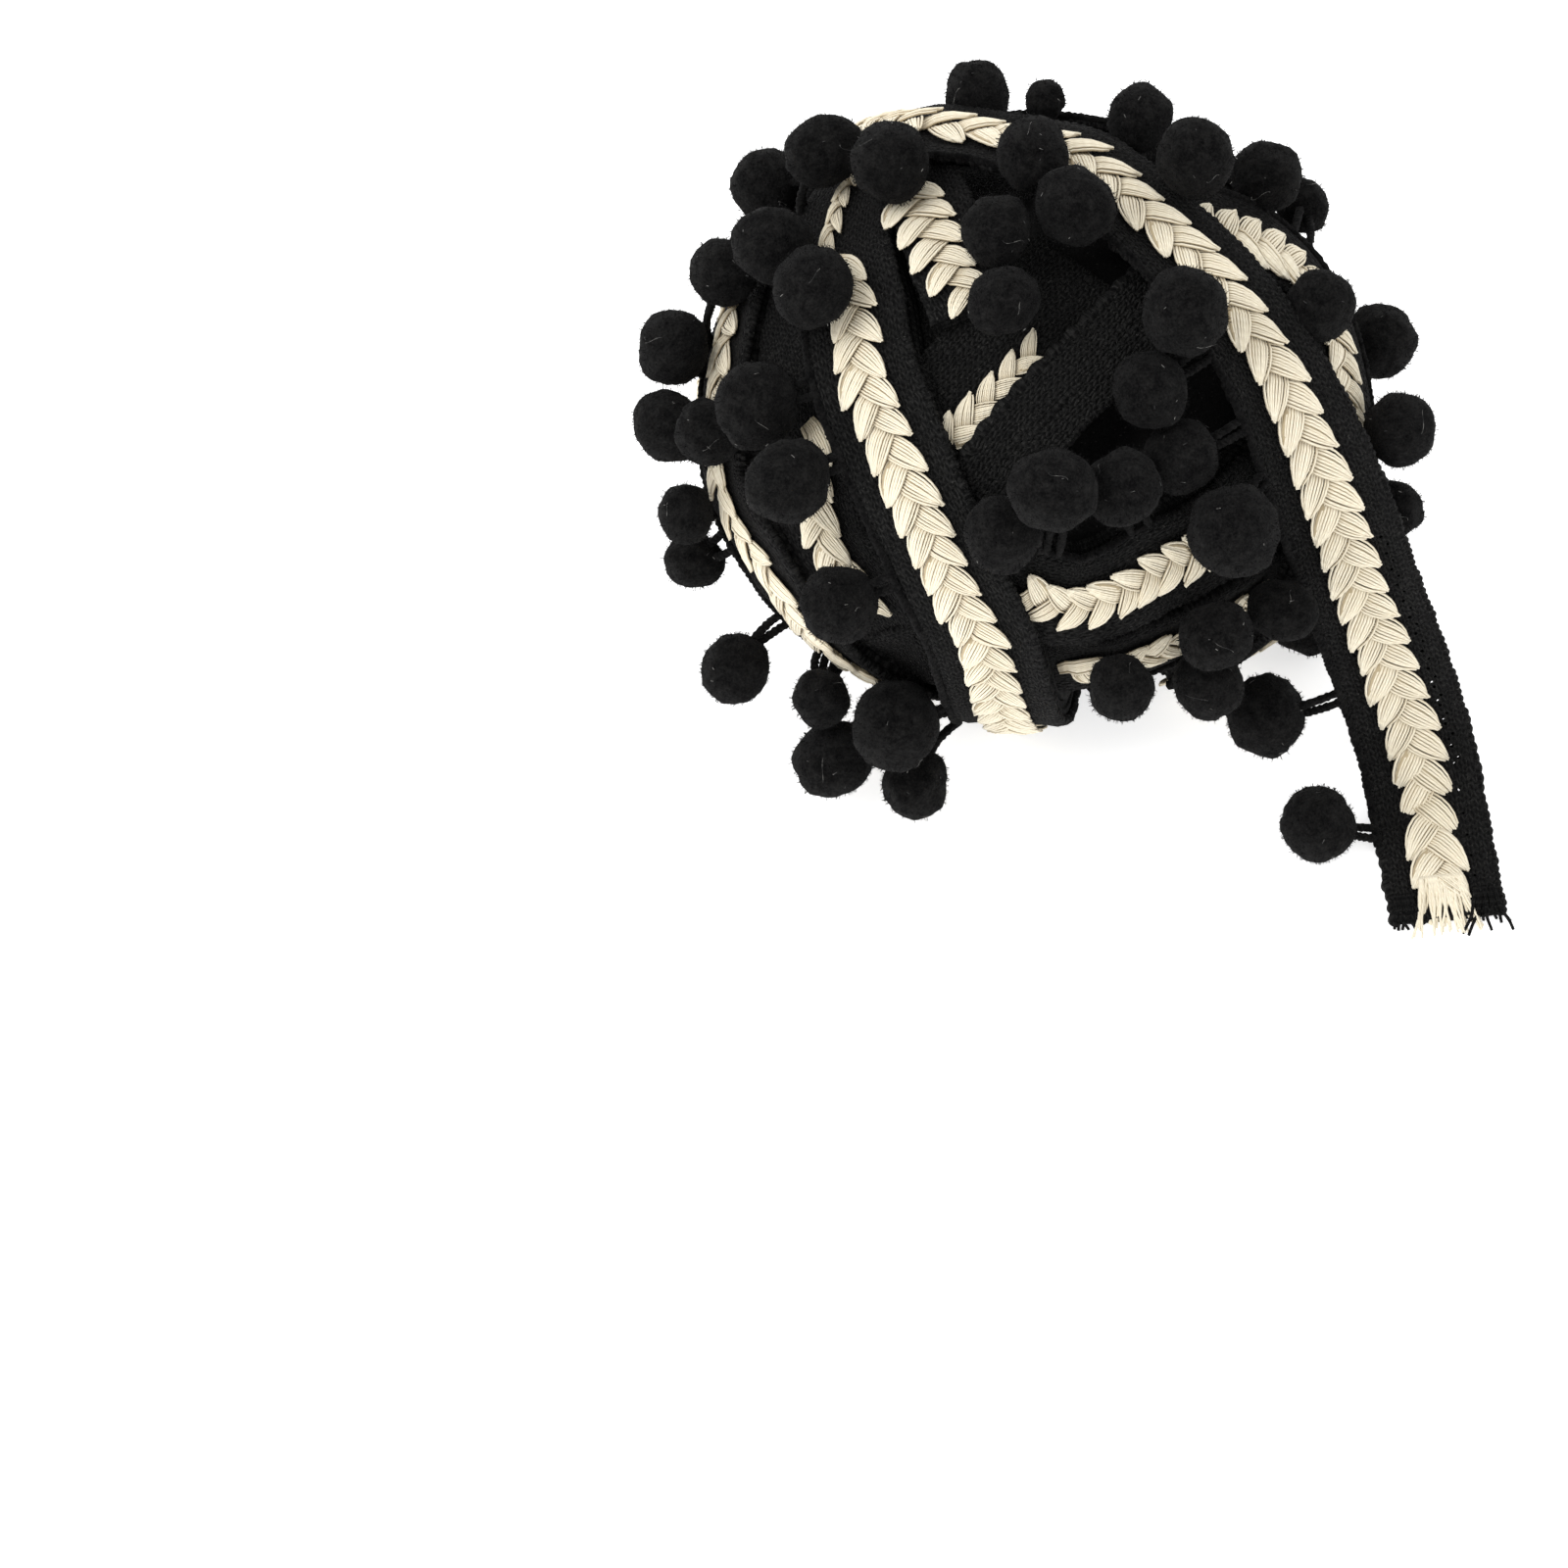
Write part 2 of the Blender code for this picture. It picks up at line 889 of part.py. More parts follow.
def ball_plaits(routes):
    """A plait on each open stretch of the turns, numbered along each turn."""
    for turn in TURNS:
        if turn.plait == 0:
            continue
        route = routes[turn.name]
        number = 0
        for start, end in open_stretches(route, routes, turn.plait / 2 + PLAIT_SIDE):
            number += 1
            start, end = start + PLAIT_END, end - PLAIT_END
            plait(f"{turn.name}_plait_{number}", route, turn.plait, start, end)


def loose_tape(route):
    """The loose length of tape: one thin sheet off the ball, down in the air and along the floor."""
    outline = box_outline(0.0, TAPE_WIDTH, -TAPE_THICKNESS, 0.0)
    mesh = band_mesh(route, 0.0, route.length, outline, PLAIT_PITCH / 2)
    return add_object("loose_tape", *mesh, tape_finish())


def merged(name, meshes, material):
    """One object from several (vertices, faces) meshes."""
    vertices, faces = [], []
    for more, sides in meshes:
        faces += [tuple(i + len(vertices) for i in side) for side in sides]
        vertices += list(more)
    return add_object(name, vertices, faces, material)


def round_head(place, radius, turn):
    """A felted ball with 80 faces, a little flattened and turned by its number."""
    work = bmesh.new()
    bmesh.ops.create_icosphere(work, subdivisions=2, radius=1.0)
    squash = HEAD_SQUASH * (1 + 0.06 * math.sin(2.4 * turn))
    angle = 1.3 * turn
    across = np.array([math.cos(angle), math.sin(angle), 0.0])
    beside = np.array([-math.sin(angle), math.cos(angle), 0.0])
    vertices = []
    for corner in work.verts:
        x, y, z = corner.co
        vertices.append(place + radius * (across * x + beside * y * squash + FLOOR_UP * z))
    faces = [tuple(corner.index for corner in face.verts) for face in work.faces]
    work.free()
    return vertices, faces


def strand(start, bend, end, radius):
    """A three-sided yarn that leaves its start, bends once and ends inside a pompom."""
    rings = []
    side = unit(np.cross(end - start, bend - start + STRAND_TILT))
    for share in STRAND_STEPS:
        place = (1 - share) ** 2 * start + 2 * share * (1 - share) * bend + share**2 * end
        ahead = unit(2 * (1 - share) * (bend - start) + 2 * share * (end - bend))
        out = unit(np.cross(ahead, side))
        ring = []
        for corner in range(3):
            angle = 2 * math.pi * corner / 3
            ring.append(place + radius * (math.cos(angle) * side + math.sin(angle) * out))
        rings.append(ring)
    return lofted(rings, False)


def bob_start(bob):
    """Where a pompom lies before it is pushed clear: on the turns in front, or out past the rim."""
    radii = CORE_RADII + POMPOM_LIFT + bob.radius * 0.5
    reach = (bob.across / radii[0]) ** 2 + (bob.up / radii[1]) ** 2
    out = radii[2] * math.sqrt(max(0.0, 1 - reach))
    return from_front(bob.across, bob.up, out)


def solid_points(routes):
    """Points all over the turns and the ball's core, each with the radius of what it stands for."""
    places, sizes = [], []
    for route in routes.values():
        for share in (-0.43, -0.21, 0.0, 0.21, 0.43):
            on_border = abs(share) * route.width > PLAIT_WIDTH / 2
            size = BORDER_SIZE if on_border else BORDER_SIZE + PLAIT_HEIGHT
            for at in stations(0.0, route.length, POINT_STEP):
                places.append(route.place(at, share * route.width, route.top - 1.0))
                sizes.append(size)
    for polar in stations(CORE_STEP, math.pi - CORE_STEP, CORE_STEP):
        for turn in stations(0.0, 2 * math.pi, CORE_STEP / math.sin(polar)):
            row = [math.cos(polar), math.sin(polar) * math.cos(turn), math.sin(polar) * math.sin(turn)]
            places.append(from_front(*(np.array(row) * (CORE_RADII - BORDER_SIZE))))
            sizes.append(CORE_SIZE)
    return np.array(places), np.array(sizes)


def push_clear(places, radii, obstacles, sizes):
    """Moves the pompoms until none presses on another, on the turns or on the floor.

    A pompom is drawn back to where it shows from the front, apart from the last turns of the loop.
    """
    homes = places.copy()
    flat = np.array([ACROSS, UP])
    for turn in range(PUSHES):
        ease = HOMING if turn < PUSHES * 0.75 else 0.0
        places = places + ease * (homes - places) @ flat.T @ flat
        for i, radius in enumerate(radii):
            away = places[i] - places
            gaps = np.linalg.norm(away, axis=1)
            short = radius + radii + CLEARANCE - gaps
            short[i] = -1
            for j in np.nonzero(short > 0)[0]:
                push = away[j] / gaps[j] * short[j] / 2 * PUSH_SHARES
                places[i] += push
                places[j] -= push
            away = places[i] - obstacles
            gaps = np.linalg.norm(away, axis=1)
            short = radius + sizes - gaps
            near = np.nonzero(short > 0)[0]
            if len(near):
                push = (away[near] / gaps[near, None] * short[near, None]).mean(axis=0)
                out = unit(places[i] - CENTRE) * short[near].max()
                places[i] += (1 - OUT_SHARE) * push + OUT_SHARE * out
            places[i][2] = max(places[i][2], radius + FLOOR_GAP)
    return places


def middle_of(route, edge):
    """How far the selvedge strip's middle is from the middle of its tape."""
    return edge * (route.width / 2 + SELVEDGE_GAP + SELVEDGE_WIDTH / 2)


def selvedge_root(route, edge, place, routes):
    """The length along a turn's edge that is nearest to a pompom and not under another turn."""
    beside = middle_of(route, edge)
    sides = (beside - SELVEDGE_WIDTH, beside + SELVEDGE_WIDTH)
    lengths = np.arange(SELVEDGE_END, route.length - SELVEDGE_END, 1.0)
    edges = route.place(lengths, np.full(len(lengths), beside), np.zeros(len(lengths)))
    order = np.argsort(np.linalg.norm(edges - place, axis=1))
    for at in lengths[order]:
        span = (at - SELVEDGE_END, at, at + SELVEDGE_END)
        if not any(is_under(route, near, routes, sides) for near in span):
            return at
    return lengths[order[0]]


def spaced_roots(route, edge, heads, routes):
    """Where each pompom's loop leaves the edge: near its pompom, and apart from the one before."""
    roots = np.array([selvedge_root(route, edge, head, routes) for head in heads])
    order = np.argsort(roots)
    for before, after in zip(order[:-1], order[1:]):
        roots[after] = max(roots[after], roots[before] + CLOSEST_ROOTS)
    return roots


def fringe(kind, route, roots, heads, radii):
    """One stretch of fringe: a selvedge strip beside the tape, with each pompom on its looped yarns."""
    middle = middle_of(route, kind.edge)
    low = route.top + SELVEDGE_LIFT - SELVEDGE_HEIGHT / 2
    high = low + SELVEDGE_HEIGHT
    outline = box_outline(middle, SELVEDGE_WIDTH, low, high)
    start, end = roots.min() - SELVEDGE_END, roots.max() + SELVEDGE_END
    strip = band_mesh(route, start, end, outline, SELVEDGE_STEP)
    made = add_object(kind.name, *strip, felt_finish())
    yarns, balls = [], []
    for number, (root, head, radius) in enumerate(zip(roots, heads, radii)):
        for side in (-0.5, 0.5) if route.thick else (0.0,):
            at = root + side * LOOP_SPREAD
            start = route.place(at, middle, high - LOOP_RADIUS / 2)
            outward = unit(route.place(at, middle + kind.edge, high + 1.0) - start)
            goal = head + unit(start + outward - head) * radius * LOOP_DEPTH
            bend = (start + goal) / 2 + outward * LOOP_BULGE * np.linalg.norm(goal - start)
            yarns.append(strand(start, bend, goal, LOOP_RADIUS))
        balls.append(round_head(head, radius, number))
    combine(made, merged(kind.name + "_yarns", yarns, felt_finish()), "UNION")
    combine(made, merged(kind.name + "_heads", balls, felt_finish()), "UNION")
    return made


def rear_roots(kind):
    """The lengths along its turn at which a rear fringe's pompoms are sewn on."""
    return kind.first + POMPOM_PITCH * np.arange(kind.count)


def rear_starts(kind, route):
    """Where a rear fringe's pompoms lie before they are pushed clear: a little out from their roots."""
    beside = middle_of(route, kind.edge) + kind.edge * POMPOM_RADIUS
    return [route.place(root, beside, route.top + POMPOM_RADIUS) for root in rear_roots(kind)]


def fringes(routes):
    """Every stretch of fringe, its pompoms pushed clear of one another first."""
    starts = [bob_start(bob) for kind in FRINGES for bob in kind.bobs]
    radii = [bob.radius for kind in FRINGES for bob in kind.bobs]
    for kind in REAR_FRINGES:
        starts += rear_starts(kind, routes[kind.turn])
        radii += [POMPOM_RADIUS] * kind.count
    radii = np.array(radii, float)
    places = push_clear(np.array(starts), radii, *solid_points(routes))
    first = 0
    for kind in (*FRINGES, *REAR_FRINGES):
        route = routes[kind.turn]
        is_rear = isinstance(kind, RearFringe)
        last = first + (kind.count if is_rear else len(kind.bobs))
        heads = places[first:last]
        roots = rear_roots(kind) if is_rear else spaced_roots(route, kind.edge, heads, routes)
        fringe(kind, route, roots, heads, radii[first:last])
        first = last


def fray(kind, route, material):
    """A narrow strip across the cut end with its loose yarns lying level on the floor."""
    end = route.place(route.length, kind.beside, 0.0)
    ahead = unit((end - route.place(route.length - AHEAD, kind.beside, 0.0)) * (1.0, 1.0, 0.0))
    left = np.cross(FLOOR_UP, ahead)
    edge = end * (1.0, 1.0, 0.0) + ahead * GAP + FLOOR_UP * FRAY_LIFT
    rings = []
    for along in (0.0, FRAY_STRIP):
        ring = []
        for beside, high in box_outline(0.0, kind.width, 0.0, FRAY_HEIGHT):
            ring.append(edge + ahead * along + left * beside + FLOOR_UP * high)
        rings.append(ring)
    made = add_object(kind.name, *lofted(rings, False), material)
    yarns = []
    for number in range(kind.count):
        share = (number + 0.5) / kind.count - 0.5
        length = kind.length * (0.8 + 0.2 * math.cos(2.7 * number))
        start = edge + ahead * FRAY_STRIP / 2 + left * share * (kind.width - 2 * FRAY_LOCK_RADIUS)
        start = start + FLOOR_UP * FRAY_LOCK_RADIUS
        tip = start + ahead * length + left * share * kind.splay
        middle = (start + tip) / 2 + left * 0.3 * math.sin(4.0 * number)
        yarns.append(strand(start, middle, tip, FRAY_LOCK_RADIUS))
    combine(made, merged(kind.name + "_yarns", yarns, material), "UNION")
    return made


def routes_of_all():
    """Every turn's route by its name, and the loose length's."""
    routes = {turn.name: ball_route(turn) for turn in TURNS}
    routes["loose"] = loose_route()
    return routes


def clear_scene():
    """Removes every object of the scene."""
    for found in list(bpy.data.objects):
        bpy.data.objects.remove(found, do_unlink=True)


def build():
    clear_scene()
    routes = routes_of_all()
    loose = routes["loose"]
    wound_ball(routes)
    ball_plaits(routes)
    loose_tape(loose)
    plait("loose_plait", loose, PLAIT_WIDTH, PLAIT_END / 2, loose.length - PLAIT_BARE)
    for kind in FRAYS:
        fray(kind, loose, plait_finish() if kind.name == "plait_fray" else tape_finish())
    fringes(routes)


build()
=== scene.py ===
"""Pompom fringe trim wound into a loose ball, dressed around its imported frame.

The trim is a black knitted tape with a cream plait sewn down its middle and felted pompoms on short
yarn loops along one edge. Lengths are in millimetres until a mesh is finished, and a finished mesh is
in metres. The ball's front leans back: `across` runs along +X, `up` lies in a plane that leans back
from upright, and `out` is measured away from that plane.
"""

from __future__ import annotations

import logging
import math
from dataclasses import dataclass, field, replace
from enum import Enum
from typing import Any, Callable, NamedTuple, Sequence

import bmesh
import bpy
import numpy as np
from mathutils import Matrix, Vector, noise


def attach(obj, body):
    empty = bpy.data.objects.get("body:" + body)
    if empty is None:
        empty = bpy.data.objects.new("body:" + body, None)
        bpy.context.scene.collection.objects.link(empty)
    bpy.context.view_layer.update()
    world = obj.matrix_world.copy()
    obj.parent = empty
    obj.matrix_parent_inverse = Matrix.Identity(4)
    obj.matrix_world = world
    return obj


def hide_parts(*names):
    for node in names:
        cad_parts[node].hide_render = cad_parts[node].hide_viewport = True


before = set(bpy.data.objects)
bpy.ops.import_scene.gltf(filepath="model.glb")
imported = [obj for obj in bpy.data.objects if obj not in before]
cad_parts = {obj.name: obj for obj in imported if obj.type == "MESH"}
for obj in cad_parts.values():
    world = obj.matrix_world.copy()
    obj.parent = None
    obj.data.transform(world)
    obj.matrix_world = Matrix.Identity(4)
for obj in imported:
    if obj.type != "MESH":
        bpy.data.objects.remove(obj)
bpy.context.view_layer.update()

# short names for types: Rows are places or directions, one to a row, or a single one
Piece = bpy.types.Object
Material = bpy.types.Material
Socket = bpy.types.NodeSocket
Rows = np.ndarray
Pair = tuple[float, float]
Triple = tuple[float, float, float]
Numbers = tuple[float, ...]

LOG = logging.getLogger("pompom_trim")

MM = 0.001
BODY = "root"


# ---------------- the trim's sizes and tables


# Nothing reaches lower than this above the floor.
FLOOR_SKIN = 0.02


class Finish(Enum):
    """The record's material slots."""

    TAPE = "black_tape"
    FELT = "black_felt"
    COTTON = "cream_cotton"


class Spot(NamedTuple):
    """A place on the ball: its side is 1 in front, 0 on the rim and -1 behind."""

    across: float
    up: float
    side: int


class Turn(NamedTuple):
    """One wound turn: its level in the pile, whether it closes, the widths that show, and its route."""

    name: str
    level: int
    closed: bool
    width: float
    plait: float
    spots: tuple[Spot, ...]


class Hang(NamedTuple):
    """A place on the loose length: its lay is 0 on the ball, 1 in the air and 2 on the floor."""

    across: float
    up: float
    out: float
    lay: float


class Bob(NamedTuple):
    """Where a pompom shows, and its radius."""

    across: float
    up: float
    radius: float


class Fringe(NamedTuple):
    """The pompoms along one stretch of a turn's edge: edge is 1 on the route's left, -1 on its right."""

    name: str
    turn: str
    edge: int
    bobs: tuple[Bob, ...]


class RearFringe(NamedTuple):
    """Pompoms spaced evenly along a turn's edge, from a length along it."""

    name: str
    turn: str
    edge: int
    first: float
    count: int

    def roots(self) -> Rows:
        """The lengths at which they hang."""
        return self.first + TRIM.pompom_pitch * np.arange(self.count)


class Fray(NamedTuple):
    """Cut yarns at the loose end: where across the width they are, their number, length and splay."""

    name: str
    beside: float
    width: float
    count: int
    length: float
    splay: float


def spots(*rows: tuple[float, float, int]) -> tuple[Spot, ...]:
    """Names the numbers of rows as spots."""
    return tuple(Spot(*row) for row in rows)


def bobs(*rows: Triple) -> tuple[Bob, ...]:
    """Names the numbers of rows as pompoms."""
    return tuple(Bob(*row) for row in rows)


TURNS: tuple[Turn, ...] = (
    Turn("left_turn", 2, True, 21.0, 11.0, spots(
        (0, -8, -1), (-2, 12, -1), (-8, 32, -1), (-26, 50, 0), (-36, 42, 1), (-37.5, 31, 1), (-35, 20, 1),
        (-33, 8, 1), (-28, -5, 1), (-22, -19, 1), (-16, -32, 1), (-9, -46, 1), (-3, -56, 0), (2, -32, -1),
    )),
    Turn("outer_turn", 1, True, 21.0, 11.0, spots(
        (-26, -10, -1), (-34, 16, -1), (-46, 32, -1), (-56, 30, 0), (-58, 18, 1), (-60, 3, 1),
        (-60, -10, 1), (-57, -19, 1), (-52, -27, 1), (-47, -35, 1), (-40, -43, 1), (-32, -49.5, 0),
        (-24, -50, -1), (-22, -36, -1),
    )),
    Turn("between_turn", 0, True, 21.0, 11.0, spots(
        (-44, 36, 1), (-44, 15, 1), (-42, 2, 1), (-40, -22, 1), (-32, -36, 1), (-24, -48, 0),
        (-12, -30, -1), (-16, 10, -1), (-34, 40, -1),
    )),
    Turn("curled_turn", 2, False, 15.0, 11.0, spots(
        (-24, 51, 0), (-20, 41, 1), (-16.5, 30, 1), (-12.5, 20, 1),
    )),
    Turn("inner_turn", 0, False, 21.0, 8.0, spots(
        (-27, -11, 1), (-19.5, -2, 1), (-10.5, 8, 1), (-1.5, 18, 1), (9, 29, 1),
    )),
    Turn("turned_over", 1, False, 14.5, 0.0, spots(
        (-11, -17, 1), (-4, -7, 1), (4, 2, 1), (14, 12, 1), (24, 22, 1), (32, 29, 1),
    )),
    Turn("lower_turn", 1, False, 21.0, 11.0, spots(
        (-7, -32, 1), (0, -34.5, 1), (8, -36, 1), (16, -34, 1), (24, -29.5, 1), (33, -25, 1), (43, -17, 1),
        (51, -6, 1), (57, 8, 1), (57, 22, 0), (44, 34, -1),
    )),
    Turn("bottom_turn", 0, False, 21.0, 11.0, spots(
        (-34, -30, -1), (-28, -44, 0), (-8, -42, 1), (3, -47, 1), (14, -47.5, 1), (25, -44, 1),
        (42, -35, 1), (54, -20, 0), (54, 4, -1), (44, 26, -1),
    )),
    Turn("top_turn", 2, False, 21.0, 11.0, spots(
        (-13, 55, -1), (-6, 57.5, -1), (4, 58.3, -1), (16, 56.5, -1), (28, 52, -1), (40, 44, -1),
        (49, 32, -1), (50, 16, -1), (44, -4, -1), (32, -24, -1),
    )),
    Turn("right_turn", 2, False, 21.0, 11.0, spots(
        (26, 36.5, 1), (35, 36.5, 1), (45, 33.5, 1), (53.5, 27, 1), (59, 16, 1), (61.5, 3, 1), (62, -10, 1),
        (60, -23, 1), (54, -36, 0), (44, -42, -1), (32, -46, -1),
    )),
    Turn("rear_turn", 2, False, 21.0, 11.0, spots(
        (-42, 30, -1), (-39, 16, -1), (-34, 0, -1), (-30, -16, -1), (-25, -36, -1),
    )),
    Turn("rear_high_turn", 1, False, 21.0, 11.0, spots(
        (-62, 6, 0), (-50, 20, -1), (-22, 30, -1), (12, 28, -1), (44, 14, -1), (58, -2, -1),
    )),
)

FRAYS: tuple[Fray, ...] = (
    Fray("left_border_fray", -8.0, 4.6, 4, 3.2, 1.0),
    Fray("plait_fray", 0.0, 9.6, 7, 6.5, 2.0),
    Fray("right_border_fray", 8.0, 4.6, 5, 6.5, 5.0),
)

LOOSE_LENGTH: tuple[Hang, ...] = tuple(Hang(*row) for row in (
    (-43.5, 39.5, -32, 0), (-41, 48, -21.5, 0), (-34.5, 55.5, -4, 0), (-25, 57, 16, 0), (-15, 55.5, 24, 0),
    (-4, 53.5, 28, 0), (8, 50, 35, 0), (21, 39, 44, 0), (33, 27, 48, 0), (42, 15, 49, 0.1),
    (48, 4, 46.5, 0.3), (53, -7, 41.5, 0.6), (58, -19, 33, 0.9), (63, -32, 20.5, 1), (69, -46, 6, 1),
    (73.5, -58, -4, 1), (76, -66, -8.9, 1.3), (77.5, -74, -9.6, 1.7), (79.2, -84.7, -4.2, 2),
    (80.9, -95.8, 3.6, 2),
))

FRINGES: tuple[Fringe, ...] = (
    Fringe("loose_fringe", "loose", -1, bobs(
        (-27, 48, 8), (0, 49, 7), (6, 39, 8), (28, 18, 8.5), (22, 5, 7.5), (28, -10, 7.5), (37, -21, 9),
        (48, -37, 6.5), (46, -57, 8), (56, -78, 7.6),
    )),
    Fringe("left_fringe", "left_turn", -1, bobs(
        (-39, 50, 7.5), (-51, 46, 7), (-49, 32, 8), (-42, 24, 8), (-52, 1, 8.5), (-47, -12, 8.5),
        (-37, -36, 7.5), (-26, -59, 9), (-22, -70, 7),
    )),
    Fringe("outer_fringe", "outer_turn", -1, bobs(
        (-59, 28, 6.5), (-68, 13, 7.5), (-69, -1, 7), (-62, -3, 6.5), (-66, -18, 6), (-65, -27, 5.5),
        (-57, -48, 7), (-40, -55, 6), (-38, -64, 7.5),
    )),
    Fringe("top_fringe", "top_turn", -1, bobs(
        (-10, 63, 7), (3, 62, 4), (21, 58, 6.5),
    )),
    Fringe("right_fringe", "right_turn", 1, bobs(
        (30, 47.5, 8), (45, 46, 7), (53, 42, 5.5), (55, 21, 7), (69, -2, 7), (67, -17, 6),
    )),
    Fringe("bottom_fringe", "bottom_turn", -1, bobs(
        (17, -52, 6.5), (34, -51, 7), (35, -42, 7),
    )),
    Fringe("hollow_fringe", "lower_turn", 1, bobs(
        (-6, -23, 7.5), (3, -15, 8.5), (17, -14, 7.5),
    )),
    Fringe("curled_fringe", "curled_turn", 1, bobs(
        (-6, 35, 7), (-6, 21, 7),
    )),
)

REAR_FRINGES: tuple[RearFringe, ...] = (
    RearFringe("left_rear_fringe", "left_turn", -1, 6.0, 3),
    RearFringe("rear_fringe", "rear_turn", 1, 24.0, 2),
    RearFringe("right_rear_fringe", "right_turn", 1, 112.0, 1),
    RearFringe("high_rear_fringe", "top_turn", -1, 80.0, 2),
)

# rows of pinholes in the loose tape: how far beside its middle, their pitch, where they start, radius
PINHOLES: tuple[Numbers, ...] = (
    (6.7, 4.6, 196.0, 0.34),
    (7.5, 4.6, 198.3, 0.28),
    (6.5, 4.6, 236.0, 0.26),
)
# how long each row is
PINHOLE_RUN = 60.0


# ---------------- routes over the ball


def unit(vectors: Any) -> Rows:
    """Brings each row of an array to length 1."""
    vectors = np.asarray(vectors, float)
    return vectors / np.linalg.norm(vectors, axis=-1, keepdims=True)


@dataclass(frozen=True)
class BallForm:
    """The oval that the turns lie on, and the directions of its leaning front."""

    lean: float = math.radians(55.0)
    centre_height: float = 54.0
    radii: Triple = (59.0, 51.5, 51.5)
    hollow_place: Pair = (13.0, -4.0)
    hollow_radius: float = 17.0
    hollow_depth: float = 10.0
    level_tops: Numbers = (1.5, 4.5, 7.5)
    rim: float = 0.998

    @property
    def axes(self) -> Rows:
        """The directions across the front, up it and straight out of it."""
        level, upright = math.cos(self.lean), math.sin(self.lean)
        return np.array([[1.0, 0.0, 0.0], [0.0, upright, level], [0.0, -level, upright]])

    @property
    def out(self) -> Rows:
        """The direction straight out of the leaning front."""
        return self.axes[2]

    @property
    def centre(self) -> Rows:
        """The ball's centre in world axes."""
        return np.array([0.0, 0.0, self.centre_height])

    @property
    def sizes(self) -> Rows:
        """The oval's three radii."""
        return np.array(self.radii)

    def world(self, places: Any) -> Rows:
        """Turns places given by the front's directions into world axes."""
        return self.centre + np.asarray(places, float) @ self.axes

    def direction(self, spot: Sequence[float], top: float = 0.0) -> Rows:
        """Finds where a spot that shows at a height above the oval lies on a round unit ball.

        Args:
            spot: Across, up and side.
            top: The height above the oval.

        Returns:
            The direction as a unit row.
        """
        radii = self.sizes + top
        flat = np.array([spot[0] / radii[0], spot[1] / radii[1]])
        reach = float(np.linalg.norm(flat))
        if spot[2] == 0 or reach > self.rim:
            return np.array([*(flat / reach), 0.0])
        return np.array([*flat, spot[2] * math.sqrt(1 - reach**2)])


@dataclass(frozen=True)
class TrimForm:
    """The sizes of the trim itself."""

    width: float = 21.0
    thickness: float = 1.8
    plait_width: float = 11.0
    plait_height: float = 2.0
    plait_side: float = 0.6
    plait_bare: float = 3.0
    shortest_plait: float = 11.0
    gap: float = 0.35
    selvedge_gap: float = 0.6
    selvedge_width: float = 1.4
    selvedge_end: float = 3.0
    closest_roots: float = 4.0
    pompom_pitch: float = 24.0
    pompom_radius: float = 7.5
    pompom_lift: float = 9.0
    rest_height: float = 9.0
    floor_gap: float = 0.1


BALL = BallForm()
TRIM = TrimForm()
MM_PER_CM = 10.0
MM2_PER_M2 = 1e6
CURVE_STEPS = 8
AHEAD = 1.5
COVER_STEP = 1.5
COVER_MARGIN = 1.5
COVER_HEIGHT = 16.0
FLOOR_UP = np.array([0.0, 0.0, 1.0])

# directions that no yarn runs along, from which the first side of a yarn is found
ASIDE = np.array([0.31, 0.52, 0.79])
PLY_ASIDE = (0.35, 0.21, 0.88)

# each wave of a ripple: how short it is, how its phase grows with the seed, and where that starts
RIPPLES: tuple[Triple, ...] = ((1.0, 1.0, 0.0), (1.73, 2.3, 1.0), (2.91, 5.1, 2.0))
RIPPLE_SIZE = 1.7


def curve_through(points: Any, closed: bool) -> Rows:
    """Draws a smooth curve through points.

    Args:
        points: Rows to pass through.
        closed: Whether the curve comes round to its start.

    Returns:
        The curve's rows, CURVE_STEPS from each point to the next.
    """
    points = np.asarray(points, float)
    count = len(points)
    if closed:
        ring = np.concatenate([points[-1:], points, points[:2]])
        spans = count
    else:
        first, last = 2 * points[0] - points[1], 2 * points[-1] - points[-2]
        ring = np.concatenate([[first], points, [last]])
        spans = count - 1
    steps = np.arange(CURVE_STEPS)[:, None] / CURVE_STEPS
    made = []
    for i in range(spans):
        a, b, c, d = ring[i : i + 4]
        bend = 2 * a - 5 * b + 4 * c - d
        turn = 3 * b - 3 * c + d - a
        made.append((2 * b + (c - a) * steps + bend * steps**2 + turn * steps**3) / 2)
    rows = np.concatenate(made)
    return rows if closed else np.concatenate([rows, points[-1:]])


def lengths_along(path: Rows) -> Rows:
    """The length run along a path at each of its places."""
    return np.concatenate([[0.0], np.cumsum(np.linalg.norm(np.diff(path, axis=0), axis=1))])


